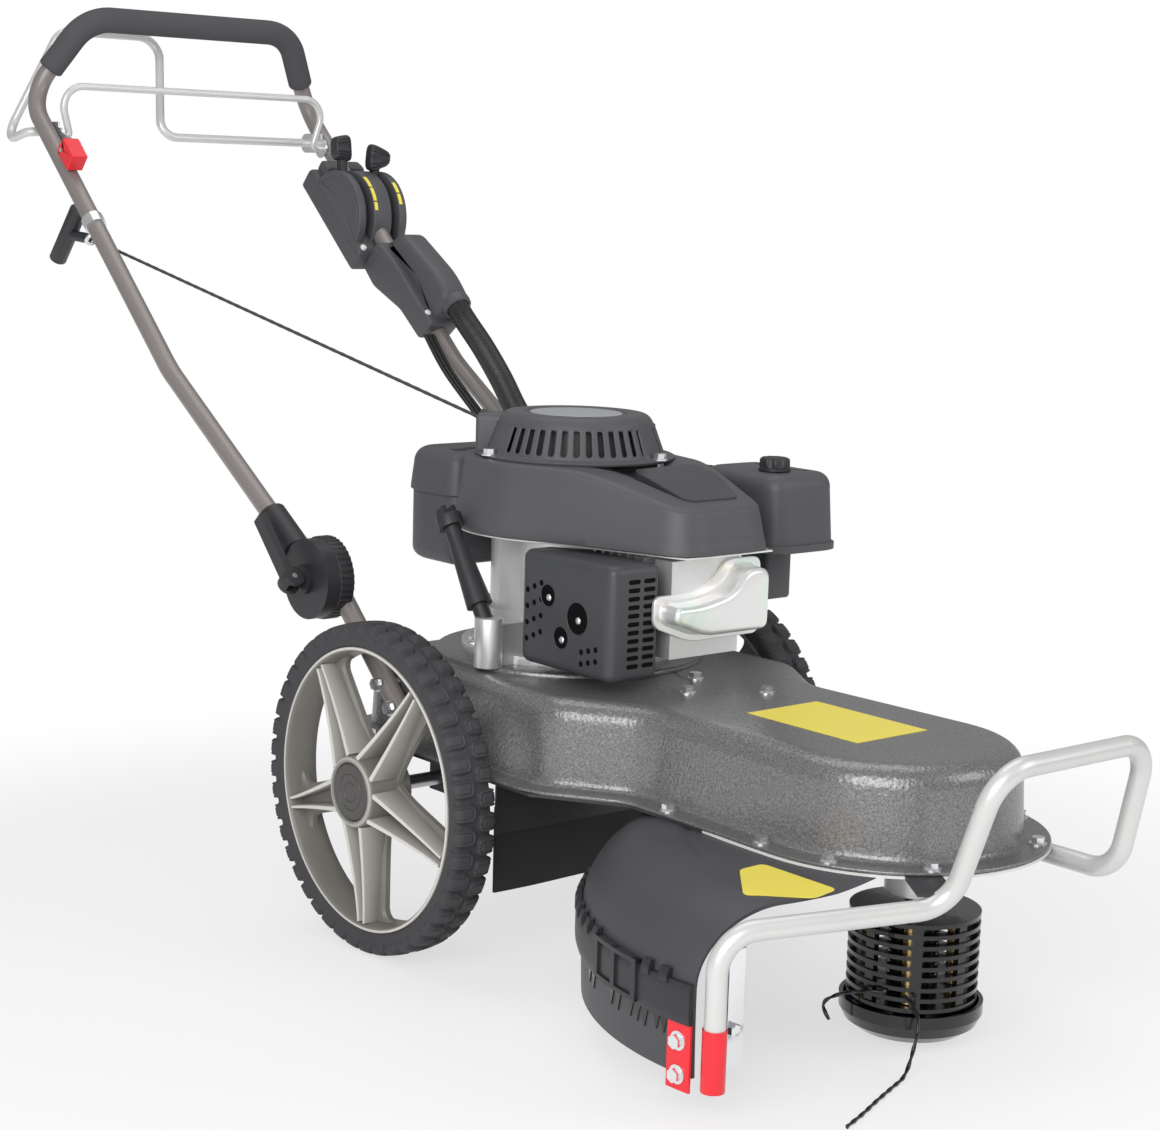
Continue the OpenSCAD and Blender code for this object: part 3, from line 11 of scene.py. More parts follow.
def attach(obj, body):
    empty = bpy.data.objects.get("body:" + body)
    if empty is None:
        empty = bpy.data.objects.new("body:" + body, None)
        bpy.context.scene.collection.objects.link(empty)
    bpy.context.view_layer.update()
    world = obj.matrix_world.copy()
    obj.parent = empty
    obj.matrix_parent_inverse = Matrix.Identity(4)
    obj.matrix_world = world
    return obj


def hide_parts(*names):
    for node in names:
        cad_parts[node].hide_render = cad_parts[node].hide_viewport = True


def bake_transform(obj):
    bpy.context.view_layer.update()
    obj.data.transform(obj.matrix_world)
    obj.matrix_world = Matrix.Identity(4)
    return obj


bl_info = {
    "name": "Wheeled string trimmer",
    "version": (1, 0, 0),
    "blender": (4, 5, 0),
    "location": "View3D > Sidebar > Trimmer",
    "description": "Builds the finished surfaces of a walk-behind string trimmer",
    "category": "Object",
}

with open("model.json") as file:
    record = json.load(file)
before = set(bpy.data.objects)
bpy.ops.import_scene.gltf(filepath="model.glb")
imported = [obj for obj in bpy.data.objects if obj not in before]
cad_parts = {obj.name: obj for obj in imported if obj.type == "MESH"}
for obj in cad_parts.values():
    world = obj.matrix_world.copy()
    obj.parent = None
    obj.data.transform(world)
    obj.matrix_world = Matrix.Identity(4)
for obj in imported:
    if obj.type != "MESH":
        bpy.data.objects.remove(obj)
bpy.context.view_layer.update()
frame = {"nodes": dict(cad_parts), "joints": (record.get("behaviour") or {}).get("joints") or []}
JOINTS = {j["name"]: j for j in frame["joints"]}

# The chassis is pitched about its axle. Lengths below are millimetres in the chassis frame, with its origin at the
# middle of the axle, x forwards, y to the operator's left and z square to the deck.
AXLE = (np.array(JOINTS["wheel_left_spin"]["pos_m"]) + np.array(JOINTS["wheel_right_spin"]["pos_m"])) / 2
TILT = math.atan2(JOINTS["engine_spin"]["axis"][0], JOINTS["engine_spin"]["axis"][2])
CRANK = np.array([25.0, 0, 0])
HEAD = np.array([542.0, 0, 0])
WHEEL_Y = 234.5
BEND = np.array([-475.115, 0, 399.025])
UP_TUBE = np.array([-0.743145, 0, 0.669131])
OFF_TUBE = np.array([0.669131, 0, 0.743145])
SIDE = np.array([0.0, 1, 0])
TUBE_Y = 210.0

# The photograph's camera, solved from the wheels, the deck and the handle: picture width and focal length in pixels,
# place from the axle in metres, and yaw, pitch and roll in degrees.
PHOTO_WIDTH, FOCAL = 1160, 2310.5
CAMERA_AT = (1.9547, -1.5875, 0.7229)
CAMERA_TURN = (140.227, -7.506, -0.261)
SENSOR = 36


def linear(code):
    """An sRGB hex colour as linear RGBA."""
    c = np.array([int(code[i:i + 2], 16) for i in (1, 3, 5)]) / 255
    c = np.where(c <= 0.04045, c / 12.92, ((c + 0.055) / 1.055) ** 2.4)
    return (*(float(v) for v in c), 1.0)


def colour_property(name, code, description):
    """A colour property whose default is an sRGB hex value."""
    return FloatVectorProperty(name=name, description=description, subtype="COLOR", size=4, min=0, max=1,
                               default=linear(code))


class TrimmerColours(bpy.types.PropertyGroup):
    """Colours that a user would change."""
    deck: colour_property("Deck", "#7f7e7f", "Hammered enamel of the deck")
    tube: colour_property("Handle tube", "#8d8784", "Paint of the handle tubes")
    silver: colour_property("Bumper", "#d9d9d8", "Paint of the bumper and the bails")
    red: colour_property("Red", "#ed2a35", "Red end plate, cap and catch")
    engine: colour_property("Engine plastic", "#515155", "Moulded covers of the engine")
    guard: colour_property("Guard", "#47474b", "Moulded guard over the line")
    tyre: colour_property("Tyre", "#3f3e41", "Rubber of the tyres")
    rim: colour_property("Rim", "#7e7b75", "Moulded wheel rims")
    panel: colour_property("Panel", "#f8e65c", "Plain panels on the deck and the guard")


class TrimmerSizes(bpy.types.PropertyGroup):
    """Sizes that a user would change."""
    lugs: IntProperty(name="Lugs", description="Lugs in each of the tread's two rows", default=44, min=20, max=80)
    lug_depth: FloatProperty(name="Lug depth", description="Depth of the tread's grooves in millimetres", default=5.2,
                             min=1, max=6)
    slots: IntProperty(name="Recoil slots", description="Places for slots round the recoil cover", default=44, min=20,
                       max=60)
    rib_pitch: FloatProperty(name="Hose rib pitch", description="Distance between the hose's ribs in millimetres",
                             default=4.8, min=3, max=8)
    twist: FloatProperty(name="Line twist", description="Length of one turn of the twisted line in millimetres",
                         default=17.0, min=8, max=40)


# Points and surfaces


def unit(v):
    """Vectors scaled to length one."""
    v = np.asarray(v, float)
    return v / np.linalg.norm(v, axis=-1, keepdims=True)


def place(p):
    """Chassis millimetres to row metres: a turn by the pitch about the axle, then the axle's place."""
    p = np.asarray(p, float)
    c, s = math.cos(TILT), math.sin(TILT)
    x, y, z = p[..., 0], p[..., 1], p[..., 2]
    return stacked(x * c + z * s, y, z * c - x * s) / 1000 + AXLE


def smoothstep(a, b, x):
    """0 before a, 1 after b, and the cubic 3t^2 - 2t^3 between them."""
    t = np.clip((np.asarray(x, float) - a) / (b - a), 0, 1)
    return t * t * (3 - 2 * t)


def stacked(x, y, z):
    """Points from three coordinates, each a number or an array, that spread over one grid."""
    return np.stack(np.broadcast_arrays(x, y, z), -1)


def lengths(path):
    """Lengths along a polyline from its start to each point."""
    return np.concatenate([[0], np.cumsum(np.linalg.norm(np.diff(path, axis=0), axis=1))])


def circle(count):
    """Angles at equal steps round a circle."""
    return np.linspace(0, 2 * math.pi, count, endpoint=False)


def quads(index):
    """The faces between neighbouring rows and columns of a grid of vertex numbers."""
    return np.stack([index[:-1, :-1], index[:-1, 1:], index[1:, 1:], index[1:, :-1]], -1).reshape(-1, 4)


def outward(points, faces, finish):
    """A shell whose faces are turned, all or none, so that the signed volume they close is positive."""
    a, b, c, d = (points[faces[:, k]] for k in range(4))
    if (np.cross(a, b) * c + np.cross(a, c) * d).sum() < 0:
        faces = faces[:, ::-1]
    return points, faces, np.full(len(faces), finish)


def shell(grid, loop=True, caps=True, tall=False, finish=0):
    """A grid of points (rows, columns) as vertices and faces. Columns close into a loop, caps fan from each end row
    to its middle, and tall closes the rows too."""
    m, n = grid.shape[:2]
    index = np.arange(m * n).reshape(m, n)
    if loop:
        index = np.concatenate([index, index[:, :1]], 1)
    if tall:
        index = np.concatenate([index, index[:1]], 0)
    faces = quads(index)
    points = grid.reshape(-1, 3)
    if caps and loop and not tall:
        middles = np.stack([grid[0].mean(0), grid[-1].mean(0)])
        first, last = m * n, m * n + 1
        points = np.concatenate([points, middles])
        low, top = index[0], index[-1]
        fan = [np.stack([low[1:], low[:-1], np.full(n, first), np.full(n, first)], -1),
               np.stack([top[:-1], top[1:], np.full(n, last), np.full(n, last)], -1)]
        faces = np.concatenate([faces, *fan])
    return outward(points, faces, finish)


def thick(outer, inner, finish=0):
    """A sheet with a wall: one grid outside, one inside, and a strip round their common border."""
    m, n = outer.shape[:2]
    i = np.arange(m * n).reshape(m, n)
    front = quads(i)
    border = np.concatenate([i[0, :-1], i[:-1, -1], i[-1, :0:-1], i[:0:-1, 0]])
    after = np.roll(border, -1)
    rim = np.stack([after, border, border + m * n, after + m * n], -1)
    points = np.concatenate([outer.reshape(-1, 3), inner.reshape(-1, 3)])
    return outward(points, np.concatenate([front, front[:, ::-1] + m * n, rim]), finish)


def piece(name, body, finishes, shells, stands_for=(), sharp=35.0, attribute=None, chassis=True):
    """One object from shells, in chassis millimetres unless chassis is False: smooth shaded, with edges steeper than
    sharp degrees left crisp. Faces with a doubled last corner become triangles."""
    points, faces, kinds, count = [], [], [], 0
    for p, f, k in shells:
        points.append(p)
        faces.append(f + count)
        kinds.append(k)
        count += len(p)
    points, faces, kinds = np.concatenate(points), np.concatenate(faces), np.concatenate(kinds)
    places = place(points) if chassis else points
    flat = (faces[:, 2] == faces[:, 3]) | (faces[:, 0] == faces[:, 3]) | (faces[:, 0] == faces[:, 1])
    tidy = [list(dict.fromkeys(f)) if t else f for f, t in zip(faces.tolist(), flat.tolist())]
    mesh = bpy.data.meshes.new(name)
    mesh.from_pydata(places.tolist(), [], tidy)
    mesh.polygons.foreach_set("material_index", kinds.astype(np.int32))
    mesh.polygons.foreach_set("use_smooth", np.ones(len(tidy), bool))
    mesh.set_sharp_from_angle(angle=math.radians(sharp))
    for finish in finishes:
        mesh.materials.append(bpy.data.materials[finish])
    if attribute is not None:
        layer = mesh.attributes.new("edge", "FLOAT", "POINT")
        layer.data.foreach_set("value", np.asarray(attribute, np.float32))
    mesh.update()
    made = bpy.data.objects.new(name, mesh)
    bpy.context.scene.collection.objects.link(made)
    if body:
        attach(made, body)
    if stands_for:
        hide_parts(*stands_for)
    return made


def fillet(corners, radius, steps):
    """A closed outline: each corner becomes a parabola between points one radius away along its two sides."""
    p = np.asarray(corners, float)
    r = np.broadcast_to(np.asarray(radius, float), (len(p),))[:, None]
    before, after = np.roll(p, 1, 0), np.roll(p, -1, 0)
    a = p + unit(before - p) * np.minimum(r, np.linalg.norm(before - p, axis=1, keepdims=True) * 0.48)
    b = p + unit(after - p) * np.minimum(r, np.linalg.norm(after - p, axis=1, keepdims=True) * 0.48)
    t = np.linspace(0, 1, steps)[None, :, None]
    return ((1 - t) ** 2 * a[:, None] + 2 * t * (1 - t) * p[:, None] + t * t * b[:, None]).reshape(-1, 2)


def even(outline, count):
    """A closed outline with points at equal steps."""
    loop = np.concatenate([outline, outline[:1]])
    s = lengths(loop)
    at = np.linspace(0, s[-1], count, endpoint=False)
    return np.stack([np.interp(at, s, loop[:, k]) for k in range(2)], -1)


def grown(outline, g):
    """An outline moved outwards by g along its normals, which are square to the chord between a point's neighbours."""
    t = np.roll(outline, -1, 0) - np.roll(outline, 1, 0)
    n = unit(np.stack([t[:, 1], -t[:, 0]], -1))
    area = np.sum(outline[:, 0] * np.roll(outline[:, 1], -1) - outline[:, 1] * np.roll(outline[:, 0], -1))
    return outline + g * n * np.sign(area)


def loft(outline, levels):
    """Rings of one outline: each level is (growth, height)."""
    return np.stack([stacked(*grown(outline, g).T, float(z)) for g, z in levels])


def crown(r, inset, foot, steps, rise=None):
    """Levels of a quarter round, or a quarter ellipse if it has a rise of its own, that starts inset at its foot."""
    turns = np.linspace(0, math.pi / 2, steps)
    return [(r * (math.cos(t) - 1) - inset, foot + (rise or r) * math.sin(t)) for t in turns]


def soft_box(low, top, r_low, r_top, steps=6):
    """Levels of a moulded box: a quarter round at each end."""
    turns = np.linspace(0, math.pi / 2, steps)
    start = [(r_low * (math.sin(t) - 1), low + r_low * (1 - math.cos(t))) for t in turns]
    return start + crown(r_top, 0, top - r_top, steps)


def on(origin, ex, ey, ez, grid):
    """A grid from a local frame: origin plus each coordinate times its axis."""
    return np.asarray(origin, float) + np.asarray(grid, float) @ np.stack([ex, ey, ez]).astype(float)


def tube_frame(grid):
    """Left tube's frame: s along the tube from its bend, sideways offset, and n off the tube."""
    return on(BEND + TUBE_Y * SIDE, UP_TUBE, SIDE, OFF_TUBE, grid)


def spun(profile, centre, axis=(0, 0, 1), turns=96, caps=True, finish=0, tall=False):
    """A profile of (radius, height) points turned about an axis through centre."""
    w = unit(axis)
    u = unit(np.cross(w, (0.0, 1, 0)) if abs(w[1]) < 0.9 else np.cross(w, (1.0, 0, 0)))
    v = np.cross(w, u)
    a = circle(turns)[:, None]
    ring = np.cos(a) * u + np.sin(a) * v
    p = np.asarray(profile, float)
    grid = np.asarray(centre, float) + p[:, :1, None] * ring[None] + p[:, 1:, None] * w
    return shell(grid, caps=caps, tall=tall, finish=finish)


def bent(points, radii, steps):
    """A polyline with a true arc of the given radius at each inner corner."""
    p = [np.asarray(q, float) for q in points]
    path = [p[0]]
    for a, b, c, r in zip(p, p[1:], p[2:], radii):
        u, w = unit(b - a), unit(c - b)
        turn = math.acos(np.clip(u @ w, -1, 1))
        start = b - u * r * math.tan(turn / 2)
        centre = b + unit(w - u) * r / math.cos(turn / 2)
        phi = np.linspace(0, turn, steps)[:, None]
        path.extend(centre + (start - centre) * np.cos(phi) + u * r * np.sin(phi))
    path.append(p[-1])
    return np.array(path)


def curve(points, steps=8):
    """The smooth curve through route points: on each stretch, the cubic that a uniform spline gives."""
    p = np.asarray(points, float)
    a, b, c, d = np.concatenate([p[:1], p[:-2]]), p[:-1], p[1:], np.concatenate([p[2:], p[-1:]])
    t = (np.arange(steps) / steps)[None, :, None]
    a, b, c, d = (q[:, None] for q in (a, b, c, d))
    q = (2 * b + (c - a) * t + (2 * a - 5 * b + 4 * c - d) * t * t + (3 * b - a - 3 * c + d) * t ** 3) / 2
    return np.concatenate([q.reshape(-1, 3), p[-1:]])


def resampled(path, step):
    """The same path with points about one step apart, and their lengths along it."""
    s = lengths(path)
    n = max(2, int(round(s[-1] / step)) + 1)
    at = np.linspace(0, s[-1], n)
    return np.stack([np.interp(at, s, path[:, k]) for k in range(3)], -1), at


def sections(path):
    """Two unit vectors square to the path at each point, carried along it without twist."""
    t = unit(np.gradient(path, axis=0))
    u = np.empty_like(t)
    u[0] = unit(np.cross((0.0, 1, 0) if abs(t[0, 1]) < 0.9 else (1.0, 0, 0), t[0]))
    for i in range(1, len(t)):
        u[i] = unit(u[i - 1] - (u[i - 1] @ t[i]) * t[i])
    return u, np.cross(t, u)


def swept(path, radius, sides=16):
    """A section carried along a path; radius is one number, one for each point, or a grid with one for each vertex."""
    u, v = sections(path)
    a = circle(sides)[None, :, None]
    r = np.asarray(radius, float)
    r = r[..., None] if r.ndim == 2 else np.broadcast_to(r, (len(path),))[:, None, None]
    return shell(path[:, None] + r * (np.cos(a) * u[:, None] + np.sin(a) * v[:, None]))


def moulded(outline, count, levels, frame_of, finish=0):
    """An outline at equal steps carried through levels in a local frame."""
    return shell(frame_of(loft(even(outline, count), levels)), finish=finish)


def block(lo, hi, frame_of, r):
    """A small box with rounded edges between two corners of a local frame."""
    lo, hi = np.asarray(lo, float), np.asarray(hi, float)
    r = min(r, *(hi - lo) / 2.2)
    x0, y0, x1, y1 = lo[0] + r, lo[1] + r, hi[0] - r, hi[1] - r
    outline = grown(fillet([[x0, y0], [x1, y0], [x1, y1], [x0, y1]], r * 0.4, 5), r)
    return shell(frame_of(loft(outline, soft_box(lo[2], hi[2], r, r, steps=4))))


# Finishes


def add(tree, kind, sockets=None, **settings):
    """Adds a node: settings are its own attributes, and sockets its inputs, each a value or another node's output."""
    made = tree.nodes.new("ShaderNode" + kind)
    for key, value in settings.items():
        setattr(made, key, value)
    for key, value in (sockets or {}).items():
        if isinstance(value, bpy.types.NodeSocket):
            tree.links.new(value, made.inputs[key])
        else:
            made.inputs[key].default_value = value
    return made


def shader(name):
    """A new material, its tree, its Principled shader and Object coordinates."""
    made = bpy.data.materials.new(name)
    made.use_nodes = True
    tree = made.node_tree
    base = tree.nodes["Principled BSDF"]
    return tree, base, add(tree, "TexCoord").outputs["Object"]


def noise(tree, at, size_mm, detail, distortion=0.0):
    """Noise whose patches have a real size."""
    return add(tree, "TexNoise", {"Vector": at, "Scale": 1000 / size_mm, "Detail": detail,
                                  "Distortion": distortion}).outputs["Fac"]


def mix(tree, share, low, high):
    """One colour where the share is 0, another where it is 1."""
    return add(tree, "Mix", {0: share, 6: low, 7: high}, data_type="RGBA").outputs[2]


def shade(colour, amount):
    """A colour made darker or lighter by a factor, and no lighter than white."""
    return (*np.minimum(np.array(colour)[:3] * amount, 1), 1)


def spread(tree, value, low, high, **ends):
    """A value from 0 to 1, or between ends of its own, carried to the span from low to high."""
    return add(tree, "MapRange", {"Value": value, "To Min": low, "To Max": high, **ends}).outputs[0]


def wire(tree, base, colour, gloss, height, relief_mm, strength=1.0, metallic=0.0):
    """Joins colour, gloss and relief to a Principled shader."""
    relief = add(tree, "Bump", {"Height": height, "Distance": relief_mm / 1000, "Strength": strength})
    for socket, output in (("Base Color", colour), ("Roughness", gloss), ("Normal", relief.outputs[0])):
        tree.links.new(output, base.inputs[socket])
    base.inputs["Metallic"].default_value = metallic


def surface(name, colour, rough, grain_mm, relief_mm, metallic=0.0, tint=0.12, patch_mm=70.0, worn=0.08, coat=0.0,
            specular=0.5, stretch=(1, 1, 1)):
    """A solid finish: broad patches shift its colour and gloss a little, and a fine grain of real size gives its
    relief."""
    tree, base, at = shader(name)
    drawn = add(tree, "Mapping", {"Vector": at, "Scale": stretch}).outputs["Vector"]
    broad, fine = noise(tree, at, patch_mm, 4), noise(tree, drawn, grain_mm, 3)
    gloss = spread(tree, broad, max(0.02, rough - worn), min(1, rough + worn))
    wire(tree, base, mix(tree, broad, shade(colour, 1 - tint), shade(colour, 1 + tint)), gloss, fine, relief_mm,
         metallic=metallic)
    base.inputs["Coat Weight"].default_value = coat
    base.inputs["Specular IOR Level"].default_value = specular


def hammered_enamel(colour):
    """Sprayed hammer-finish enamel on pressed steel: shallow dimples about 4 mm across, with bright flake in them."""
    dimple_mm, flake_mm, patch_mm = 4.2, 1.6, 90
    tree, base, at = shader("Hammered enamel")
    cells = add(tree, "TexVoronoi", {"Vector": at, "Scale": 1000 / dimple_mm, "Smoothness": 0.7}, feature="SMOOTH_F1")
    spark = spread(tree, noise(tree, at, flake_mm, 2), 0, 1, **{"From Min": 0.35, "From Max": 0.72})
    gloss = spread(tree, noise(tree, at, patch_mm, 3), 0.24, 0.36)
    wire(tree, base, mix(tree, spark, shade(colour, 0.72), shade(colour, 1.5)), gloss, cells.outputs["Distance"], 0.9,
         0.45, metallic=0.45)


def passivated_zinc():
    """Zinc plate with a clear chromate film on pressed steel: bright, with drifts of blue, green and straw."""
    drift_mm, grain_mm = 55, 2.5
    tree, base, at = shader("Passivated zinc")
    ramp = add(tree, "ValToRGB", {"Fac": noise(tree, at, drift_mm, 2, 0.8)})
    stops = ramp.color_ramp.elements
    stops[0].position, stops[0].color = 0.25, linear("#e0ecea")
    stops[1].position, stops[1].color = 0.75, linear("#f3f0e6")
    for position, code in ((0.4, "#e6f3ed"), (0.5, "#eff3ef"), (0.6, "#f2f0f3")):
        stops.new(position).color = linear(code)
    fine = noise(tree, at, grain_mm, 3)
    wire(tree, base, ramp.outputs["Color"], spread(tree, fine, 0.26, 0.34), fine, 0.02, 0.4, metallic=0.6)


def edge_highlighted(name, colour, highlight_colour, rough):
    """Moulded plastic with a painted highlight: its raised edges are coloured lighter where the piece's own edge mark
    says so.
    """
    patch_mm, grain_mm = 45, 0.9
    tree, base, at = shader(name)
    highlight_share = add(tree, "Attribute", attribute_name="edge").outputs["Fac"]
    fine = noise(tree, at, grain_mm, 3)
    body = mix(tree, noise(tree, at, patch_mm, 4), shade(colour, 0.85), shade(colour, 1.12))
    wire(tree, base, mix(tree, highlight_share, body, highlight_colour), spread(tree, fine, rough - 0.06, rough + 0.08), fine, 0.04, 0.8)


class MixFinishes(bpy.types.Operator):
    """Makes every finish of the trimmer as a procedural material"""
    bl_idname = "trimmer.finishes"
    bl_label = "Mix finishes"

    def execute(self, context):
        colours = context.scene.trimmer_colours
        # Hammer enamel: dimpled and flaked, so its edges sparkle
        hammered_enamel(colours.deck)
        # Powder coat on drawn tube: a fine orange peel under a soft gloss
        surface("Grey powder coat", colours.tube, 0.38, 1.6, 0.05, metallic=0.25, tint=0.06)
        surface("Silver powder coat", colours.silver, 0.34, 1.4, 0.04, metallic=0.3, tint=0.04)
        surface("Red powder coat", colours.red, 0.35, 1.4, 0.04, tint=0.05)
        # Polypropylene moulded in a spark-eroded tool: an even matt grain
        surface("Grained engine plastic", colours.engine, 0.5, 0.9, 0.05, tint=0.1)
        surface("Grained guard plastic", colours.guard, 0.5, 1.0, 0.05, tint=0.12)
        surface("Black nylon", linear("#2c2c30"), 0.45, 0.9, 0.04, tint=0.15)
        # ABS moulded in a polished tool: deep black with a mirror gloss. The same finish is the painted shade in the
        # cut gaps of the guard's skirt
        surface("Polished black plastic and painted gap shade", linear("#121213"), 0.16, 2.0, 0.01, tint=0.1, worn=0.05, coat=0.3)
        surface("Red polypropylene", colours.red, 0.32, 1.0, 0.02, tint=0.05)
        # Sheet rubber: dull, a little dusty in patches
        surface("Sheet rubber", linear("#222223"), 0.7, 1.2, 0.06, tint=0.2)
        surface("Tyre rubber", colours.tyre, 0.72, 0.7, 0.06, tint=0.16, patch_mm=35)
        # Satin black paint on pressed steel, dulled by heat
        surface("Heat-proof black", linear("#434448"), 0.42, 0.8, 0.05, tint=0.1)
        surface("Satin black paint", linear("#353538"), 0.45, 1.2, 0.04, tint=0.12)
        # Sand-blasted die-cast aluminium: pale, with a grain that shows as a soft sparkle
        surface("Die-cast aluminium", linear("#e7e7e8"), 0.42, 0.8, 0.07, metallic=0.75, tint=0.1, patch_mm=30)
        surface("Turned steel", linear("#b7b8ba"), 0.3, 0.6, 0.02, metallic=0.95, tint=0.08)
        surface("Bright zinc", linear("#eaecee"), 0.24, 0.7, 0.02, metallic=0.9, tint=0.08, patch_mm=12)
        surface("Heat-darkened steel", linear("#7e7975"), 0.5, 0.9, 0.06, metallic=0.7, tint=0.2, patch_mm=25)
        surface("Polished strip steel", linear("#eff1f3"), 0.14, 1.5, 0.01, metallic=1.0, tint=0.04,
                stretch=(1, 1, 0.05))
        surface("Brass", linear("#d4b680"), 0.3, 0.7, 0.02, metallic=0.85, tint=0.1, patch_mm=10)
        passivated_zinc()
        # Closed-cell foam: matt and slightly pitted
        surface("Closed-cell foam", linear("#535256"), 0.85, 1.1, 0.14, tint=0.1, patch_mm=40, specular=0.3)
        surface("Braided cord", linear("#464144"), 0.8, 1.0, 0.2, tint=0.2, patch_mm=6)
        surface("Twisted nylon", linear("#222224"), 0.28, 0.7, 0.02, tint=0.2, patch_mm=8)
        surface("Hose plastic", linear("#27272a"), 0.36, 0.8, 0.02, tint=0.15)
        surface("Yellow film", colours.panel, 0.4, 1.0, 0.01, tint=0.03)
        surface("White strip", linear("#e4e3e0"), 0.4, 1.0, 0.01, tint=0.03)
        surface("Dark cap plastic", linear("#484645"), 0.4, 0.8, 0.03, tint=0.1)
        surface("Cable sheath", linear("#212123"), 0.35, 0.8, 0.02, tint=0.12)
        # Anodised and painted name plates, left plain: a brushed shine, and a smooth dark gloss
        surface("Brushed aluminium plate", linear("#c8cacd"), 0.32, 0.6, 0.02, metallic=0.7, tint=0.05,
                stretch=(1, 0.04, 1))
        surface("Polished dark panel", linear("#36373c"), 0.22, 1.2, 0.01, tint=0.06)
        # Painted shade: flat dark patches stand in for the dark inside of pressed openings, with no shine at all
        surface("Painted shade in openings", linear("#0e0e0e"), 0.9, 1.0, 0.05, tint=0.3, specular=0.1)
        # Rim plastic with a painted highlight: a pale colour on the edges that the rim marks
        edge_highlighted("Moulded rim plastic", colours.rim, linear("#d9d6d0"), 0.42)
        return {"FINISHED"}


# The solids that show, by finish
SOLIDS = {
    "Satin black paint": ("base_plate",),
    "Bright zinc": ("hex_bolts", "handle_brackets"),
    "Red powder coat": ("guard_end_plate",),
    "Silver powder coat": ("bumper_bar", "drive_bail", "brake_bail"),
    "Grey powder coat": ("lower_handles", "handle_bar"),
    "Red polypropylene": ("bumper_cap", "bail_catch"),
    "Turned steel": ("axle", "crankshaft", "drive_pulley", "spindle", "driven_pulley"),
    "Die-cast aluminium": ("gearbox", "spindle_housing", "crankcase", "cylinder_head", "carburettor", "flywheel"),
    "Heat-darkened steel": ("muffler",),
    "Passivated zinc": ("blower_plate",),
    "Sheet rubber": ("drive_belt",),
    "Polished black plastic and painted gap shade": ("trimmer_spool", "glide_cup"),
    "Black nylon": ("filler_tube", "cam_lever_left", "cam_lever_right", "dipstick", "fuel_cap", "hinge_knuckles",
                    "starter_grip"),
}


class DressSolids(bpy.types.Operator):
    """Gives each solid of the frame its real finish"""
    bl_idname = "trimmer.solids"
    bl_label = "Dress solids"

    def execute(self, context):
        for finish, nodes in SOLIDS.items():
            for node in nodes:
                mesh = frame["nodes"][node].data
                mesh.materials.clear()
                mesh.materials.append(bpy.data.materials[finish])
        return {"FINISHED"}


LAMPS = (  # name, place and aim in metres, size in metres, power in watts
    ("key", (1.9, -2.5, 1.5), (0, 0, 0.35), (2.6, 2.0), 72),
    ("fill", (2.9, 1.6, 1.9), (0.1, 0, 0.35), (1.8, 1.8), 24),
    ("top", (-0.4, 0.3, 3.4), (0, 0, 0.2), (2.6, 2.0), 24),
)
SKY = 0.37


def hang(scene, name, data, right, back, at):
    """Links a lamp or a camera at a place, its x axis along right and its z axis along back."""
    turn = np.eye(4)
    turn[:3, 0], turn[:3, 1], turn[:3, 2], turn[:3, 3] = right, np.cross(back, right), back, at
    holder = bpy.data.objects.new(name, data)
    holder.matrix_world = Matrix(turn.tolist())
    scene.collection.objects.link(holder)
    return holder


def seen_by(tree, second):
    """1 on camera rays and on one other kind of ray, and 0 on the rest."""
    ray = add(tree, "LightPath").outputs
    return add(tree, "Math", {0: ray["Is Camera Ray"], 1: ray[second]}, operation="MAXIMUM").outputs[0]


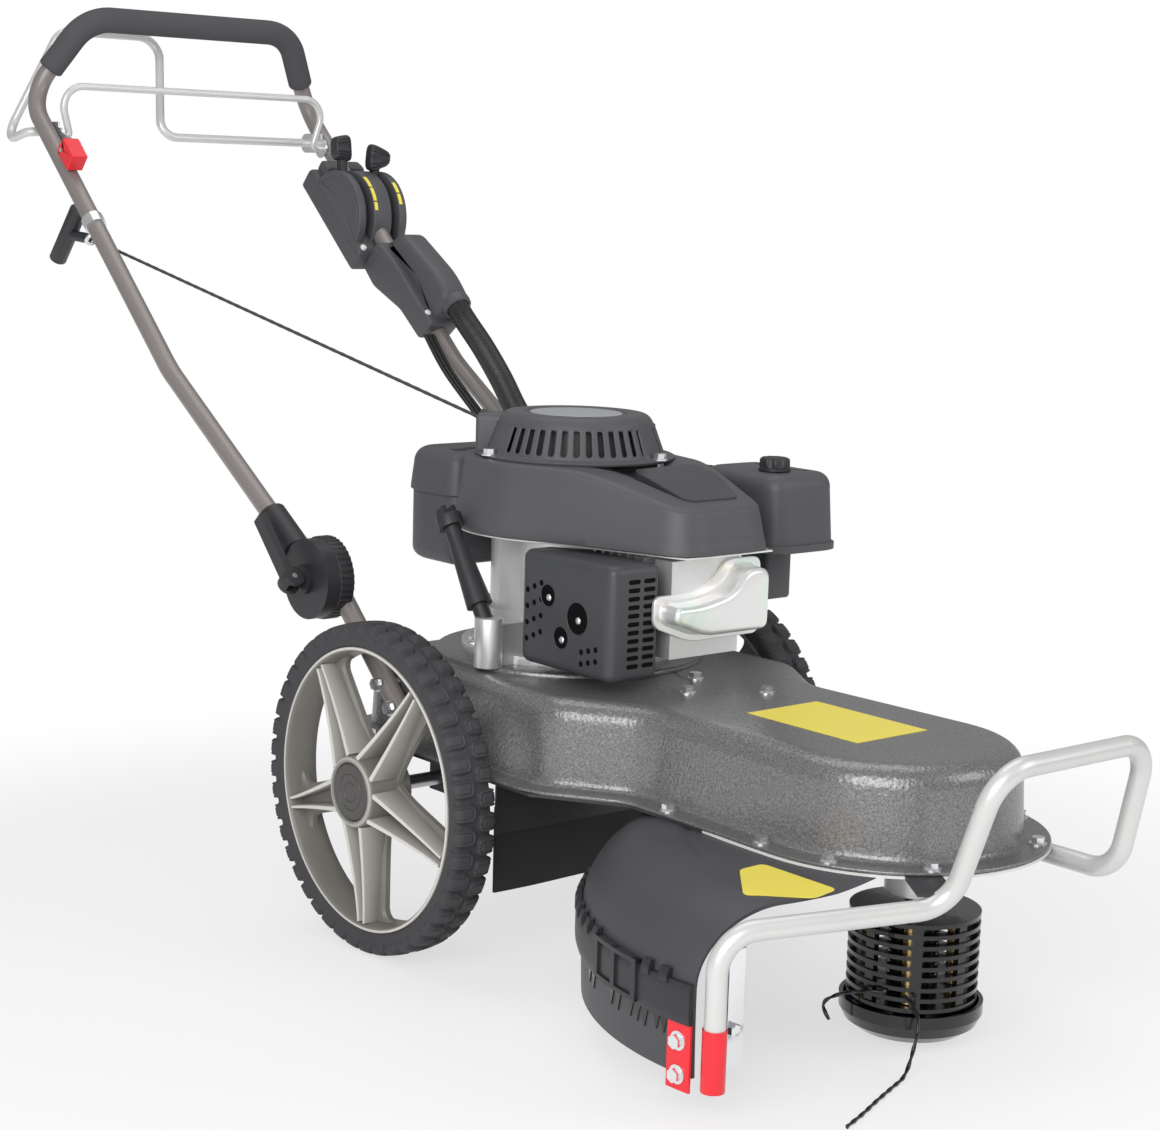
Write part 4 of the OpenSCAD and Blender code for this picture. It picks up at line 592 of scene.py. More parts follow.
class SetStage(bpy.types.Operator):
    """Lays the pale floor, the soft lights and the camera of the photograph"""
    bl_idname = "trimmer.stage"
    bl_label = "Set stage"

    def execute(self, context):
        context.scene.view_settings.view_transform = "Standard"
        self.floor()
        self.sky(context.scene)
        for name, at, aim, size, power in LAMPS:
            lamp = bpy.data.lights.new(name, "AREA")
            lamp.shape = "RECTANGLE"
            lamp.size, lamp.size_y = size
            lamp.energy = power
            back = unit(np.array(at) - np.array(aim))
            hang(context.scene, name, lamp, unit(np.cross((0, 0, 1.0), back)), back, at)
        self.camera(context.scene)
        return {"FINISHED"}

    def floor(self):
        """A pale floor that keeps the shadow and fades to white away from the trimmer."""
        reach, cells, below = 6, 25, -0.0005
        t = np.linspace(-reach, reach, cells)
        grid = stacked(t[:, None], t[::-1], below)
        floor = piece("floor", None, [], [shell(grid, loop=False, caps=False)], chassis=False)
        tree, base, at = shader("Pale studio floor")
        floor.data.materials.append(bpy.data.materials["Pale studio floor"])
        base.inputs["Base Color"].default_value = linear("#f4f4f4")
        base.inputs["Roughness"].default_value = 0.6
        base.inputs["Specular IOR Level"].default_value = 0.2
        far = add(tree, "VectorMath", {0: at}, operation="LENGTH").outputs["Value"]
        fade = add(tree, "MapRange", {"Value": far, "From Min": 0.6, "From Max": 1.3, "To Min": 0.65},
                   interpolation_type="SMOOTHSTEP")
        white = add(tree, "Emission", {"Color": (1, 1, 1, 1), "Strength": 1.0})
        share = add(tree, "Math", {0: seen_by(tree, "Is Glossy Ray"), 1: fade.outputs[0]}, operation="MULTIPLY")
        mixed = add(tree, "MixShader", {0: share.outputs[0], 1: base.outputs[0], 2: white.outputs[0]})
        tree.links.new(mixed.outputs[0], tree.nodes["Material Output"].inputs["Surface"])

    def sky(self, scene):
        """Even light from all round, which the camera sees as white."""
        scene.world = bpy.data.worlds.new("Studio")
        scene.world.use_nodes = True
        tree = scene.world.node_tree
        tree.nodes.clear()
        light, shown = (add(tree, "Background", {"Color": (1, 1, 1, 1), "Strength": s}).outputs[0] for s in (SKY, 1.0))
        mixed = add(tree, "MixShader", {0: seen_by(tree, "Is Transmission Ray"), 1: light, 2: shown})
        tree.links.new(mixed.outputs[0], add(tree, "OutputWorld").inputs["Surface"])

    def camera(self, scene):
        """The photograph's camera."""
        camera = bpy.data.cameras.new("photo_view")
        camera.sensor_fit = "HORIZONTAL"
        camera.sensor_width = SENSOR
        camera.lens = FOCAL * SENSOR / PHOTO_WIDTH
        camera.clip_end = 50
        yaw, pitch, roll = (math.radians(a) for a in CAMERA_TURN)
        ahead = np.array([math.cos(pitch) * math.cos(yaw), math.cos(pitch) * math.sin(yaw), math.sin(pitch)])
        right = unit(np.cross(ahead, (0, 0, 1.0)))
        right = math.cos(roll) * right + math.sin(roll) * np.cross(ahead, right)
        scene.camera = hang(scene, "photo_view", camera, right, -ahead, np.array(CAMERA_AT) + [*AXLE[:2], 0])


# Cords and foam


# Routes of the cords, and the ends of the stretch of the hose and cables that a fold of the handle would bend
HOSE_ROUTE = [(-486.546, 218, 471.216), (-464.251, 218, 451.142), (-420, 213, 421), (-365, 200, 386),
              (-318, 188, 352), (-270, 179, 322), (-200, 173, 300), (-120, 171, 292), (-45, 172, 296), (10, 176, 304),
              (40, 179, 308), (69.6, 179, 308)]
HOSE_BEND = (-60, 171, 294), (-420, 213, 421)
CABLE_ROUTE = [(-506, 189, 432), (-462, 188, 389), (-400, 187, 345), (-317, 183, 291), (-250, 176, 245),
               (-180, 164, 222), (-110, 150, 214), (-40, 134, 210), (40, 116, 208), (110, 102, 206), (153, 100, 206)]
CABLE_BEND = (-60, 140, 211), (-400, 187, 345)
ROPE_ENDS = [(-45.9278, -78.7734, 379), (-679.637, -202, 545.499)]
LINE_NEAR = [(575, -50, 57), (588, -55, 55), (599, -60, 48), (606, -66, 36), (609, -75, 21), (613, -86, 8),
             (619, -100, 2.5), (628, -122, 2.5), (642, -157, 2.5), (656, -190, 2.5), (668, -222, 2.5)]
LINE_FAR = [(560, -59, 60), (550, -68, 59), (535, -73, 56), (518, -76, 50), (504, -78, 42), (499, -78, 35),
            (501, -77, 28), (505, -76, 22)]
# The rope between the wire guide's eye and the grip's stem, laid short along PULL as at rest
PULL, STEM_START, STEM_INSET = unit(50 * UP_TUBE - 40 * OFF_TUBE), 12, 15
# The handle loop: its elbows beside the tubes' ends, its corners at the grip, and the foam's start past an elbow
ELBOW, GRIP, CORNER_Y, FOAM_START = np.array([-831.825, 0, 720.207]), np.array([-787.825, 0, 820.207]), 150, 43


def lobed(path, along, big, small, lobes, pitch, sides=16):
    """A section with lobes carried along a path: r = mean + half range times cos(lobes times a - phase), whose phase
    gains one turn in each pitch of length."""
    a = circle(sides)[None]
    wave = np.cos(lobes * a - 2 * math.pi * along[:, None] / pitch)
    return swept(path, (big + small) / 2 + (big - small) / 2 * wave, sides)


class LayCords(bpy.types.Operator):
    """Lays the ribbed hose, the control cables, the starter rope and both line ends, and fits the foam grip"""
    bl_idname = "trimmer.cords"
    bl_label = "Lay cords"

    def execute(self, context):
        sizes = context.scene.trimmer_sizes
        path, along = resampled(curve(HOSE_ROUTE), sizes.rib_pitch / 8)
        ribs = 14.0 + np.cos(2 * math.pi * along / sizes.rib_pitch)
        hose = piece("ribbed_hose", None, ["Hose plastic"], [swept(path, ribs, 28)], ["intake_hose"], sharp=80)
        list(place(HOSE_BEND))
        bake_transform(hose)
        path, _ = resampled(path, 6)
        place(path[0])
        place(path)
        for number, off in ((1, -6), (2, 0), (3, 6)):
            path, _ = resampled(curve(np.array(CABLE_ROUTE) + [0, off, 0]), 5)
            cable = piece(f"control_cable_{number}", None, ["Cable sheath"], [swept(path, 2.5, 12)],
                          ["control_cables"] if off == 0 else ())
            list(place(CABLE_BEND))
            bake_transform(cable)
            place(path[0])
            place(path)
        path, along = resampled(np.array(ROPE_ENDS), 0.8)
        rope = piece("starter_cord", None, ["Braided cord"], [lobed(path, along, 2.0, 1.72, 4, 15)], ["starter_rope"],
                     sharp=80)
        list(place(ROPE_ENDS))
        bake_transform(rope)
        path, _ = resampled(path, 20)
        place(path[0])
        place(path)
        eye = np.array(ROPE_ENDS[1])
        path, _ = resampled(np.array([eye, eye + STEM_INSET * PULL]), 0.35)
        drawn = piece("drawn_cord", None, ["Braided cord"], [swept(path, 1.9)])
        place(eye)
        place(eye + STEM_START * PULL)
        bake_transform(drawn)
        for end, route in (("near", LINE_NEAR), ("far", LINE_FAR)):
            path, along = resampled(curve(np.array(route) / 1000 + [*AXLE[:2], 0], 10), 0.0008)
            twisted = lobed(path, along, 0.002, 0.00125, 2, sizes.twist / 1000, 14)
            line = piece(f"line_end_{end}", "trimmer_head", ["Twisted nylon"], [twisted], [f"line_{end}"], sharp=80,
                         chassis=False)
            path, _ = resampled(path, 0.004)
        self.foam()
        return {"FINISHED"}

    def foam(self):
        """A sleeve on the handle loop from elbow to elbow: a round section whose ends are rounded off over 4 mm."""
        radius, step, bend = 16, 3.5, 55
        elbows = [ELBOW + side * TUBE_Y * SIDE for side in (-1, 1)]
        corners = [GRIP + side * CORNER_Y * SIDE for side in (-1, 1)]
        ends = [a + FOAM_START * unit(b - a) for a, b in zip(elbows, corners)]
        path, along = resampled(bent([ends[0], *corners, ends[1]], [bend, bend], 14), 2.0)
        near = np.clip(np.minimum(along, along[-1] - along) / 4, 0, 1)
        r = radius - step * (1 - np.sqrt(np.clip(1 - (1 - near) ** 2, 0, 1)))
        foam = piece("foam_sleeve", "upper_handle", ["Closed-cell foam"], [swept(path, r, 36)], ["foam_grip"], sharp=80)


# Wheels


def wheel_points(r, turn, w, side):
    """Wheel coordinates to the chassis frame: radius, turn about the axle, and offset outwards from the wheel's middle
    plane."""
    return stacked(r * np.cos(turn), side * (WHEEL_Y + w), r * np.sin(turn))


def tyre_shell(side, lugs, depth):
    """A section (bead, sidewall, shoulder, crown and back) turned round the axle. On the crown and shoulders it is
    raised where a rounded tongue's signed distance is below zero: two rows of tongues, half a pitch apart, each with a
    thin groove that follows its edge."""
    tread_r = 171
    half = np.array([(17, 168.6, 1), (18.6, 168, 1), (19.8, 167, 1), (20.5, 166.3, 0.95), (20.9, 164.2, 0.7),
                     (21.2, 162, 0.3), (21.3, 159.5, 0), (21, 156, 0), (20, 153, 0), (18.6, 150.4, 0)])
    w = np.linspace(-17, 17, 45)[1:-1]
    tread = np.stack([w, 169.8 - 1.2 * (w / 17) ** 2, np.ones_like(w)], -1)
    section = np.concatenate([half[::-1] * [-1, 1, 1], tread, half])
    along = lengths(section[:, :2])
    along = (along - along[-1] / 2)[:, None]
    slope = unit(np.gradient(section[:, :2], axis=0))
    turn = circle(lugs * 24)[None]
    pitch = 2 * math.pi * tread_r / lugs
    u = np.abs((turn * tread_r + np.where(along < 0, pitch / 2, 0)) % pitch - pitch / 2)
    bend, inner, wide = 6.0, 2.4, 8.6
    dx, dy = u - (wide - bend), inner + bend - np.abs(along)
    d = np.hypot(np.maximum(dx, 0), np.maximum(dy, 0)) + np.minimum(np.maximum(dx, dy), 0) - bend
    rise = 1 - smoothstep(-0.9, 0.9, d) - 0.22 * (1 - smoothstep(0.4, 1.3, np.abs(d + 3.2)))
    rise = rise * depth * section[:, 2:3]
    w = section[:, :1] - rise * slope[:, 1:2]
    r = section[:, 1:2] + rise * slope[:, :1]
    return shell(wheel_points(r, turn, w, side), caps=False, tall=True)


def rim_shells(side):
    """Barrel, hub and cap are turned profiles. Each of five webs is a sheet whose half width follows its window's edge,
    with a rounded edge, and carries two ribs that close up towards the barrel while their crests fall in a power curve.
    The crests and the barrel's lip are marked for a painted highlight."""
    shells, marks, spokes = [], [], 5

    def keep(made, highlight_share=()):
        shells.append(made)
        marks.append(np.concatenate([highlight_share, np.zeros(len(made[0]) - len(highlight_share))]))

    def turned(profile, count, lit=(), highlight_share=0.0, **how):
        p = np.array(profile)
        lights = np.isin(np.arange(len(p)), lit) * highlight_share
        keep(shell(wheel_points(p[:, :1], circle(count)[None], p[:, 1:], side), **how), np.repeat(lights, count))

    # The barrel, with a painted highlight marked on its lip
    turned([(150.1, -18), (150.1, 18.6), (149.4, 20.4), (147.6, 20.8), (146.2, 20), (144.5, 17), (142.6, 6),
            (141.6, -3), (141.4, -8), (142.4, -15), (145, -18.4), (148, -18.8)], 160, (2, 3), 1.0, caps=False,
           tall=True)
    # The hub, with a weaker painted highlight marked on its edge
    turned([(10, -19), (34, -19), (36, -17), (38.5, 0), (38, 30), (37.4, 33.2), (35.6, 35.2), (32, 35.4), (31, 34.6),
            (30.6, 32), (30.4, 29), (10, 29)], 72, (6,), 0.6)
    turned([(30.2, 28), (30.2, 33.6), (28.8, 34.8), (20, 35.2), (19.5, 34.6), (18.9, 34.6), (18.4, 35.2), (11, 35.2),
            (10.5, 34.6), (9.9, 34.6), (9.4, 35.2), (2, 35.3)], 72, finish=1)
    r = np.concatenate([np.linspace(34, 122, 20), np.linspace(126, 142.5, 12)])[:, None]
    corner = np.clip((r - 127) / 14.5, 0, 1)
    half = 17 + 7 * np.exp(-(r - 34) / 11) + 17 * (1 - np.sqrt(np.clip(1 - corner ** 2, 0, 1)))
    t = np.linspace(-1, 1, 25)[None]
    front = 3 - 3.2 * smoothstep(0.8, 1, np.abs(t))
    rib_r = np.linspace(35, 143, 30)[:, None]
    fall = (143 - rib_r) / 108
    crest = 19.8 + 13.5 * fall ** 1.5
    for i in range(spokes):
        a = math.radians(360 / spokes * i - 90)
        c, s = math.cos(a), math.sin(a)

        def on_spoke(r, off, w):
            return stacked(r * c - off * s, side * (WHEEL_Y + w), r * s + off * c)

        reach = np.sqrt(np.maximum(r ** 2 - (half * t) ** 2, 1))
        keep(thick(on_spoke(reach, half * t, front), on_spoke(reach, half * t, -6.0)))
        for flank in (-1, 1):
            mid = flank * (5 + 10 * fall ** 1.2)
            thin = 1.5 + 1.2 * fall
            off = np.concatenate([mid - thin - 0.8, mid - thin, mid - thin + 0.7, mid + thin - 0.7, mid + thin,
                                  mid + thin + 0.8], 1)
            w = np.concatenate([0 * crest, crest - 0.9, crest, crest, crest - 0.9, 0 * crest], 1)
            # The ribs' crests are marked for the painted highlight
            keep(shell(on_spoke(rib_r, off, w)), np.tile([0, 0.7, 1, 1, 0.7, 0], 30))
    return shells, np.concatenate(marks)


class BuildWheels(bpy.types.Operator):
    """Builds both tyres with their lugs and both ribbed rims"""
    bl_idname = "trimmer.wheels"
    bl_label = "Build wheels"

    def execute(self, context):
        sizes = context.scene.trimmer_sizes
        for side, word in ((1, "left"), (-1, "right")):
            tyre = tyre_shell(side, sizes.lugs, sizes.lug_depth)
            piece(f"lugged_tyre_{word}", f"wheel_{word}", ["Tyre rubber"], [tyre], [f"tyre_{word}"], sharp=60)
            # The marks carry the painted highlight on the rim's edges
            shells, marks = rim_shells(side)
            piece(f"spoked_rim_{word}", f"wheel_{word}", ["Moulded rim plastic", "Dark cap plastic"], shells,
                  [f"rim_{word}"], attribute=marks)
        return {"FINISHED"}


# Deck


DECK_TOP = 126.0
WIDE, WAIST, NOSE_R, NOSE_X = 178, 121, 126, 502


def deck_outline():
    """Wide rear, rounded shoulders, waist and a half-round nose."""
    right = [(-120, -WIDE), (205, -WIDE), (292, -WAIST), (NOSE_X, -NOSE_R)]
    corners = right + [(x, -y) for x, y in reversed(right)]
    groups = fillet(corners, [44, 18, 20, 1, 1, 20, 18, 44], 12).reshape(8, 12, 2)
    a = np.linspace(-math.pi / 2, math.pi / 2, 40)
    nose = np.stack([NOSE_X + NOSE_R * np.cos(a), NOSE_R * np.sin(a)], -1)
    return even(np.concatenate([groups[:3].reshape(-1, 2), nose, groups[5:].reshape(-1, 2)]), 420)


class BuildDeck(bpy.types.Operator):
    """Presses the deck cover with its flange, its engine ring, its plain panel and its pale edge"""
    bl_idname = "trimmer.deck"
    bl_label = "Build deck"

    def execute(self, context):
        outline = deck_outline()
        foot = [(25.4, 36.2), (26, 36.8), (26, 38.6), (25.5, 39.2), (8, 39.2), (4, 39.8), (1.4, 42), (0.3, 46), (0, 52)]
        edge = [(-1.5, 78), *crown(22, 3, DECK_TOP - 22, 9)]
        skin = shell(loft(outline, foot + edge + [(-34, DECK_TOP), (-60, DECK_TOP)]))
        ring = spun([(146, 124), (146, 128.5), (145, 129.6), (143, 130), (120, 130)], CRANK, turns=120)
        piece("deck_pressing", "chassis", ["Hammered enamel"], [skin, ring], ["deck_cover"], sharp=50)
        film = stacked(np.linspace(356, 503, 8)[:, None], np.linspace(-48, 48, 6), DECK_TOP + 0.35)
        piece("deck_panel", "chassis", ["Yellow film"], [thick(film, film - [0, 0, 0.3])])
        nose = outline[(outline[:, 0] > 330)]
        start = np.argmax(np.linalg.norm(np.diff(np.concatenate([nose[-1:], nose]), axis=0), axis=1))
        nose = np.roll(nose, -start, 0)
        out = unit(nose - [470, 0])
        rows = [stacked(*(nose + out * g).T, z) for g, z in ((25.8, 35.9), (26.9, 35.5), (26.9, 33.4), (25.8, 33.1))]
        piece("edge_strip", "chassis", ["White strip"], [shell(np.stack(rows, 1))])
        return {"FINISHED"}


# Engine


ENGINE_PLASTIC = "Grained engine plastic"
COWL_LOW, COWL_TOP, COWL_FALL = 264, 341, 32.86
ROPE_TURN = math.radians(228)


def cowl_fall(x):
    """How far the cowl's top has come down at x, in a smooth fall towards the front."""
    return COWL_FALL * smoothstep(84, 250, x)


def crank_frame(grid):
    """The engine's own frame: the chassis frame moved to the crankshaft."""
    return np.asarray(grid, float) + CRANK


def front_frame(origin):
    """A frame that faces forwards: its x to the operator's left and its y up."""
    return lambda grid: on(origin, SIDE, (0, 0, 1), (1, 0, 0), grid)


def cowl_outline():
    """Round over the flywheel, narrowing to a rounded front."""
    a = np.linspace(math.radians(74), math.radians(286), 60)
    back = np.stack([126 * np.cos(a), 126 * np.sin(a)], -1)
    front = fillet([(34, -121), (234, -46), (234, 74), (34, 121)], [4, 30, 34, 4], 12).reshape(4, 12, 2)
    return even(np.concatenate([back, front[1], front[2]]), 260)


def cowl_skin(levels):
    """The cowl's outline on its levels, let down towards the front by a share of the fall that grows with height."""
    grid = loft(cowl_outline(), levels)
    share = np.clip((grid[..., 2] - COWL_LOW) / (COWL_TOP - COWL_LOW), 0, 1)
    grid[..., 2] -= share * cowl_fall(grid[..., 0])
    return grid


def slotted_cover(count):
    """A turned cover whose lower wall has upright slots with round ends: the wall's grid has one column group for each
    slot, rows at the slot's ends are drawn out along a half ellipse, and the faces between them are left out."""
    groove, first, last = 5, 6, 10  # columns in a slot of each group of ten, and the rows at its ends
    columns = count * 10
    turn = np.arange(columns) * 2 * math.pi / columns
    low, high, end = 10.5, 33.5, 2.5
    wall = [(108, 0), (108, 2.6), (106.5, 3.4), (99, 3.4), (96.5, 5)]
    steps = [low - 3, low, low + 3, (low + high) / 2, high - 3, high, high + 2.5]
    wall += [(96.5 - 12.5 * (z - 5) / 33, z) for z in steps]
    a = np.linspace(0, 1, 9)
    wall += [(84 - 12 * t ** 1.3, 36 + 11 * math.sin(t * math.pi / 2)) for t in a]
    wall += [(58, 47.2), (56, 46.4), (54.5, 45), (20, 45)]
    profile = np.array(wall)
    m = len(profile)
    grid = stacked(profile[:, :1] * np.cos(turn), profile[:, :1] * np.sin(turn), profile[:, 1:])
    place_in = np.arange(columns) % 10
    u = np.clip((place_in - groove / 2) / (groove / 2), -1, 1)
    lift = end * np.sqrt(np.clip(1 - u ** 2, 0, 1)) * (place_in <= groove)
    grid[first, :, 2] -= lift
    grid[last, :, 2] += lift
    index = np.arange(m * columns).reshape(m, columns)
    right = np.roll(index, -1, 1)
    faces = np.stack([index[:-1], right[:-1], right[1:], index[1:]], -1)
    degrees = np.degrees(turn + math.pi / columns)
    shut = np.zeros(columns, bool)
    for middle, half in ((math.degrees(ROPE_TURN), 24), (20, 9), (140, 9), (260, 9)):
        shut |= np.abs((degrees - middle + 180) % 360 - 180) < half
    cut = (place_in < groove) & ~shut
    open_rows = np.zeros(m - 1, bool)
    open_rows[first:last] = True
    kept = faces[~(open_rows[:, None] & cut[None])]
    points = np.concatenate([grid.reshape(-1, 3), [[0, 0, 45]]])
    fan = np.stack([index[-1], right[-1], np.full(columns, m * columns), np.full(columns, m * columns)], -1)
    faces = np.concatenate([kept.reshape(-1, 4), fan])
    return points + CRANK + [0, 0, COWL_TOP], faces, np.zeros(len(faces), int)


class BuildEngine(bpy.types.Operator):
    """Moulds the engine's cowl, recoil cover, fuel tank, air filter and valve cover"""
    bl_idname = "trimmer.engine"
    bl_label = "Build engine"

    def execute(self, context):
        self.cowl()
        self.recoil(context.scene.trimmer_sizes.slots)
        self.tank()
        self.filter_box()
        self.valve_cover()
        return {"FINISHED"}

    def cowl(self):
        """The cowl's skin, with a dark plate on its slope."""
        foot = [(-4, 264.2), (1.4, 264.4), (2.4, 266), (2.2, 276), (0.4, 283), (0, 288), (-3, 312)]
        skin = cowl_skin(foot + crown(9, 6, COWL_TOP - 9, 9) + [(-40, COWL_TOP)])
        plate = fillet([(118, -22), (204, -18), (204, 52), (150, 74), (112, 70)], 12, 7)
        top = loft(even(plate, 80), [(0, 330), (0, 342.2), (-0.8, 343)])
        top[..., 2] -= cowl_fall(top[..., 0])
        piece("cowl_moulding", "chassis", [ENGINE_PLASTIC, "Polished dark panel"],
              [shell(crank_frame(skin)), shell(crank_frame(top), finish=1)], ["engine_cowl"])

    def recoil(self, slots):
        """The slotted cover with its walls, the box that the rope leaves by, a plain badge and a dark screen within."""
        c, s = math.cos(ROPE_TURN), math.sin(ROPE_TURN)
        box = moulded(fillet([(62, -16), (107, -16), (107, 16), (62, 16)], 5, 5), 60, soft_box(341.5, 385, 1, 7),
                      lambda grid: on(CRANK, (c, s, 0), (-s, c, 0), (0, 0, 1), grid))
        badge = spun([(50, 384), (50, 387.2), (49, 387.8), (30, 387.8)], CRANK, turns=72, finish=1)
        cover = piece("recoil_moulding", "chassis", [ENGINE_PLASTIC, "Brushed aluminium plate"],
                      [slotted_cover(slots), box, badge], ["recoil_cover"])
        wall = cover.modifiers.new("Wall", "SOLIDIFY")
        wall.thickness, wall.offset = 0.0024, -1
        screen = spun([(76, 342), (72, 380), (60, 381)], CRANK, turns=72)
        piece("recoil_screen", "chassis", ["Satin black paint"], [screen])

    def tank(self):
        """The tank's lower half, its wider upper half and the filler's neck."""
        lower = fillet([(-192, -92), (-92, -92), (-92, 92), (-192, 92)], [40, 16, 16, 40], 9)
        upper = fillet([(-195, -96), (-88, -96), (-88, 96), (-195, 96)], [46, 20, 20, 46], 9)
        hood = [(-5, 290.5), (-0.5, 290), (0.3, 291), (0, 296), *crown(18, 3, 320, 8), (-38, 338)]
        neck = spun([(19, 330), (19, 345.5), (18, 346)], CRANK + [-157.5, 44, 0], turns=48)
        shells = [moulded(lower, 160, soft_box(212, 294, 14, 1), crank_frame), moulded(upper, 160, hood, crank_frame),
                  neck]
        piece("tank_moulding", "chassis", [ENGINE_PLASTIC], shells, ["fuel_tank"])

    def filter_box(self):
        """The air filter's cover with drafted sides, the lip round its foot and the duct below it."""
        box = fillet([(45, 128), (181, 128), (181, 230), (45, 230)], [34, 30, 30, 34], 9)
        sides = [(-2, 252), (0, 254)] + [(-4 * t, 254 + 56 * t) for t in np.linspace(0, 1, 8)]
        lip = [(1, 246), (3, 246.6), (3, 253.6), (2.4, 254.4), (-1, 254.8)]
        shells = [moulded(box, 160, levels, crank_frame)
                  for levels in (sides + crown(16, 4, 313, 8, rise=17) + [(-32, 330)], lip)]
        shells.append(block((69, 185, 182), (113, 225, 247), crank_frame, 4))
        piece("filter_moulding", "chassis", [ENGINE_PLASTIC], shells, ["air_filter_box"])

    def valve_cover(self):
        """A pressed cover on the cylinder's front: a boot-shaped flange and a raised boot with a round edge."""
        flange = fillet([(-73, -14), (-24, -33), (73, -33), (73, 48), (24, 48), (6, 26), (-30, 17), (-73, 17)],
                        [10, 14, 10, 12, 12, 14, 14, 9], 7)
        raised = fillet([(-64, -9), (-22, -25), (65, -25), (65, 41), (33, 41), (12, 17), (-28, 9), (-64, 9)],
                        [9, 14, 12, 14, 12, 14, 14, 9], 7)
        levels = ((flange, [(0, 214.4), (0, 217.4), (-0.6, 218)]),
                  (raised, [(2.5, 217), (1, 219), (0, 222), *crown(6, 1, 237, 7)]))
        shells = [moulded(outline, 130, rows, front_frame(CRANK + [0, 0, 208])) for outline, rows in levels]
        piece("valve_pressing", "chassis", ["Passivated zinc"], shells, ["valve_cover"])


# Guard


def guard_points(r, turn, z):
    """Points about the head's axis."""
    return stacked(HEAD[0] + r * np.cos(turn), r * np.sin(turn), z)


def guard_sheet(outer, inner, turn, z, finish=0):
    """A sheet round the head's axis, between an outer and an inner radius."""
    return thick(guard_points(outer, turn, z), guard_points(inner, turn, z), finish)


# The dome's inner radius, the radius where its corner starts, the corner's own radius and the top's height; its turn
# from back to front in degrees, and the front edge as radii and turns
DOME_IN, DOME_FLAT, CORNER, DOME_TOP = 118, 240, 72, 33
GUARD_BACK, GUARD_FRONT = -182, -84
GUARD_TURN = np.radians(np.linspace(GUARD_BACK, GUARD_FRONT, 120))[None]
FRONT_EDGE = ((DOME_IN, 182, DOME_FLAT + CORNER), (-66, -70.2, GUARD_FRONT))
PANEL_CORNERS = ((512, -202), (511, -172), (603, -172), (610, -207), (567, -250))


def dome_profile(t, wall=0.0):
    """The dome's section as (radius, height) at shares t of its length: flat, a 72 mm corner, then straight down."""
    flat, arc, drop = DOME_FLAT - DOME_IN, CORNER * math.pi / 2, 12.0
    s = np.asarray(t, float) * (flat + arc + drop)
    a = np.clip((s - flat) / CORNER, 0, math.pi / 2)
    r = DOME_IN + np.minimum(s, flat) + (CORNER - wall) * np.sin(a)
    z = DOME_TOP - CORNER + (CORNER - wall) * np.cos(a) - np.maximum(s - flat - arc, 0)
    return r, z


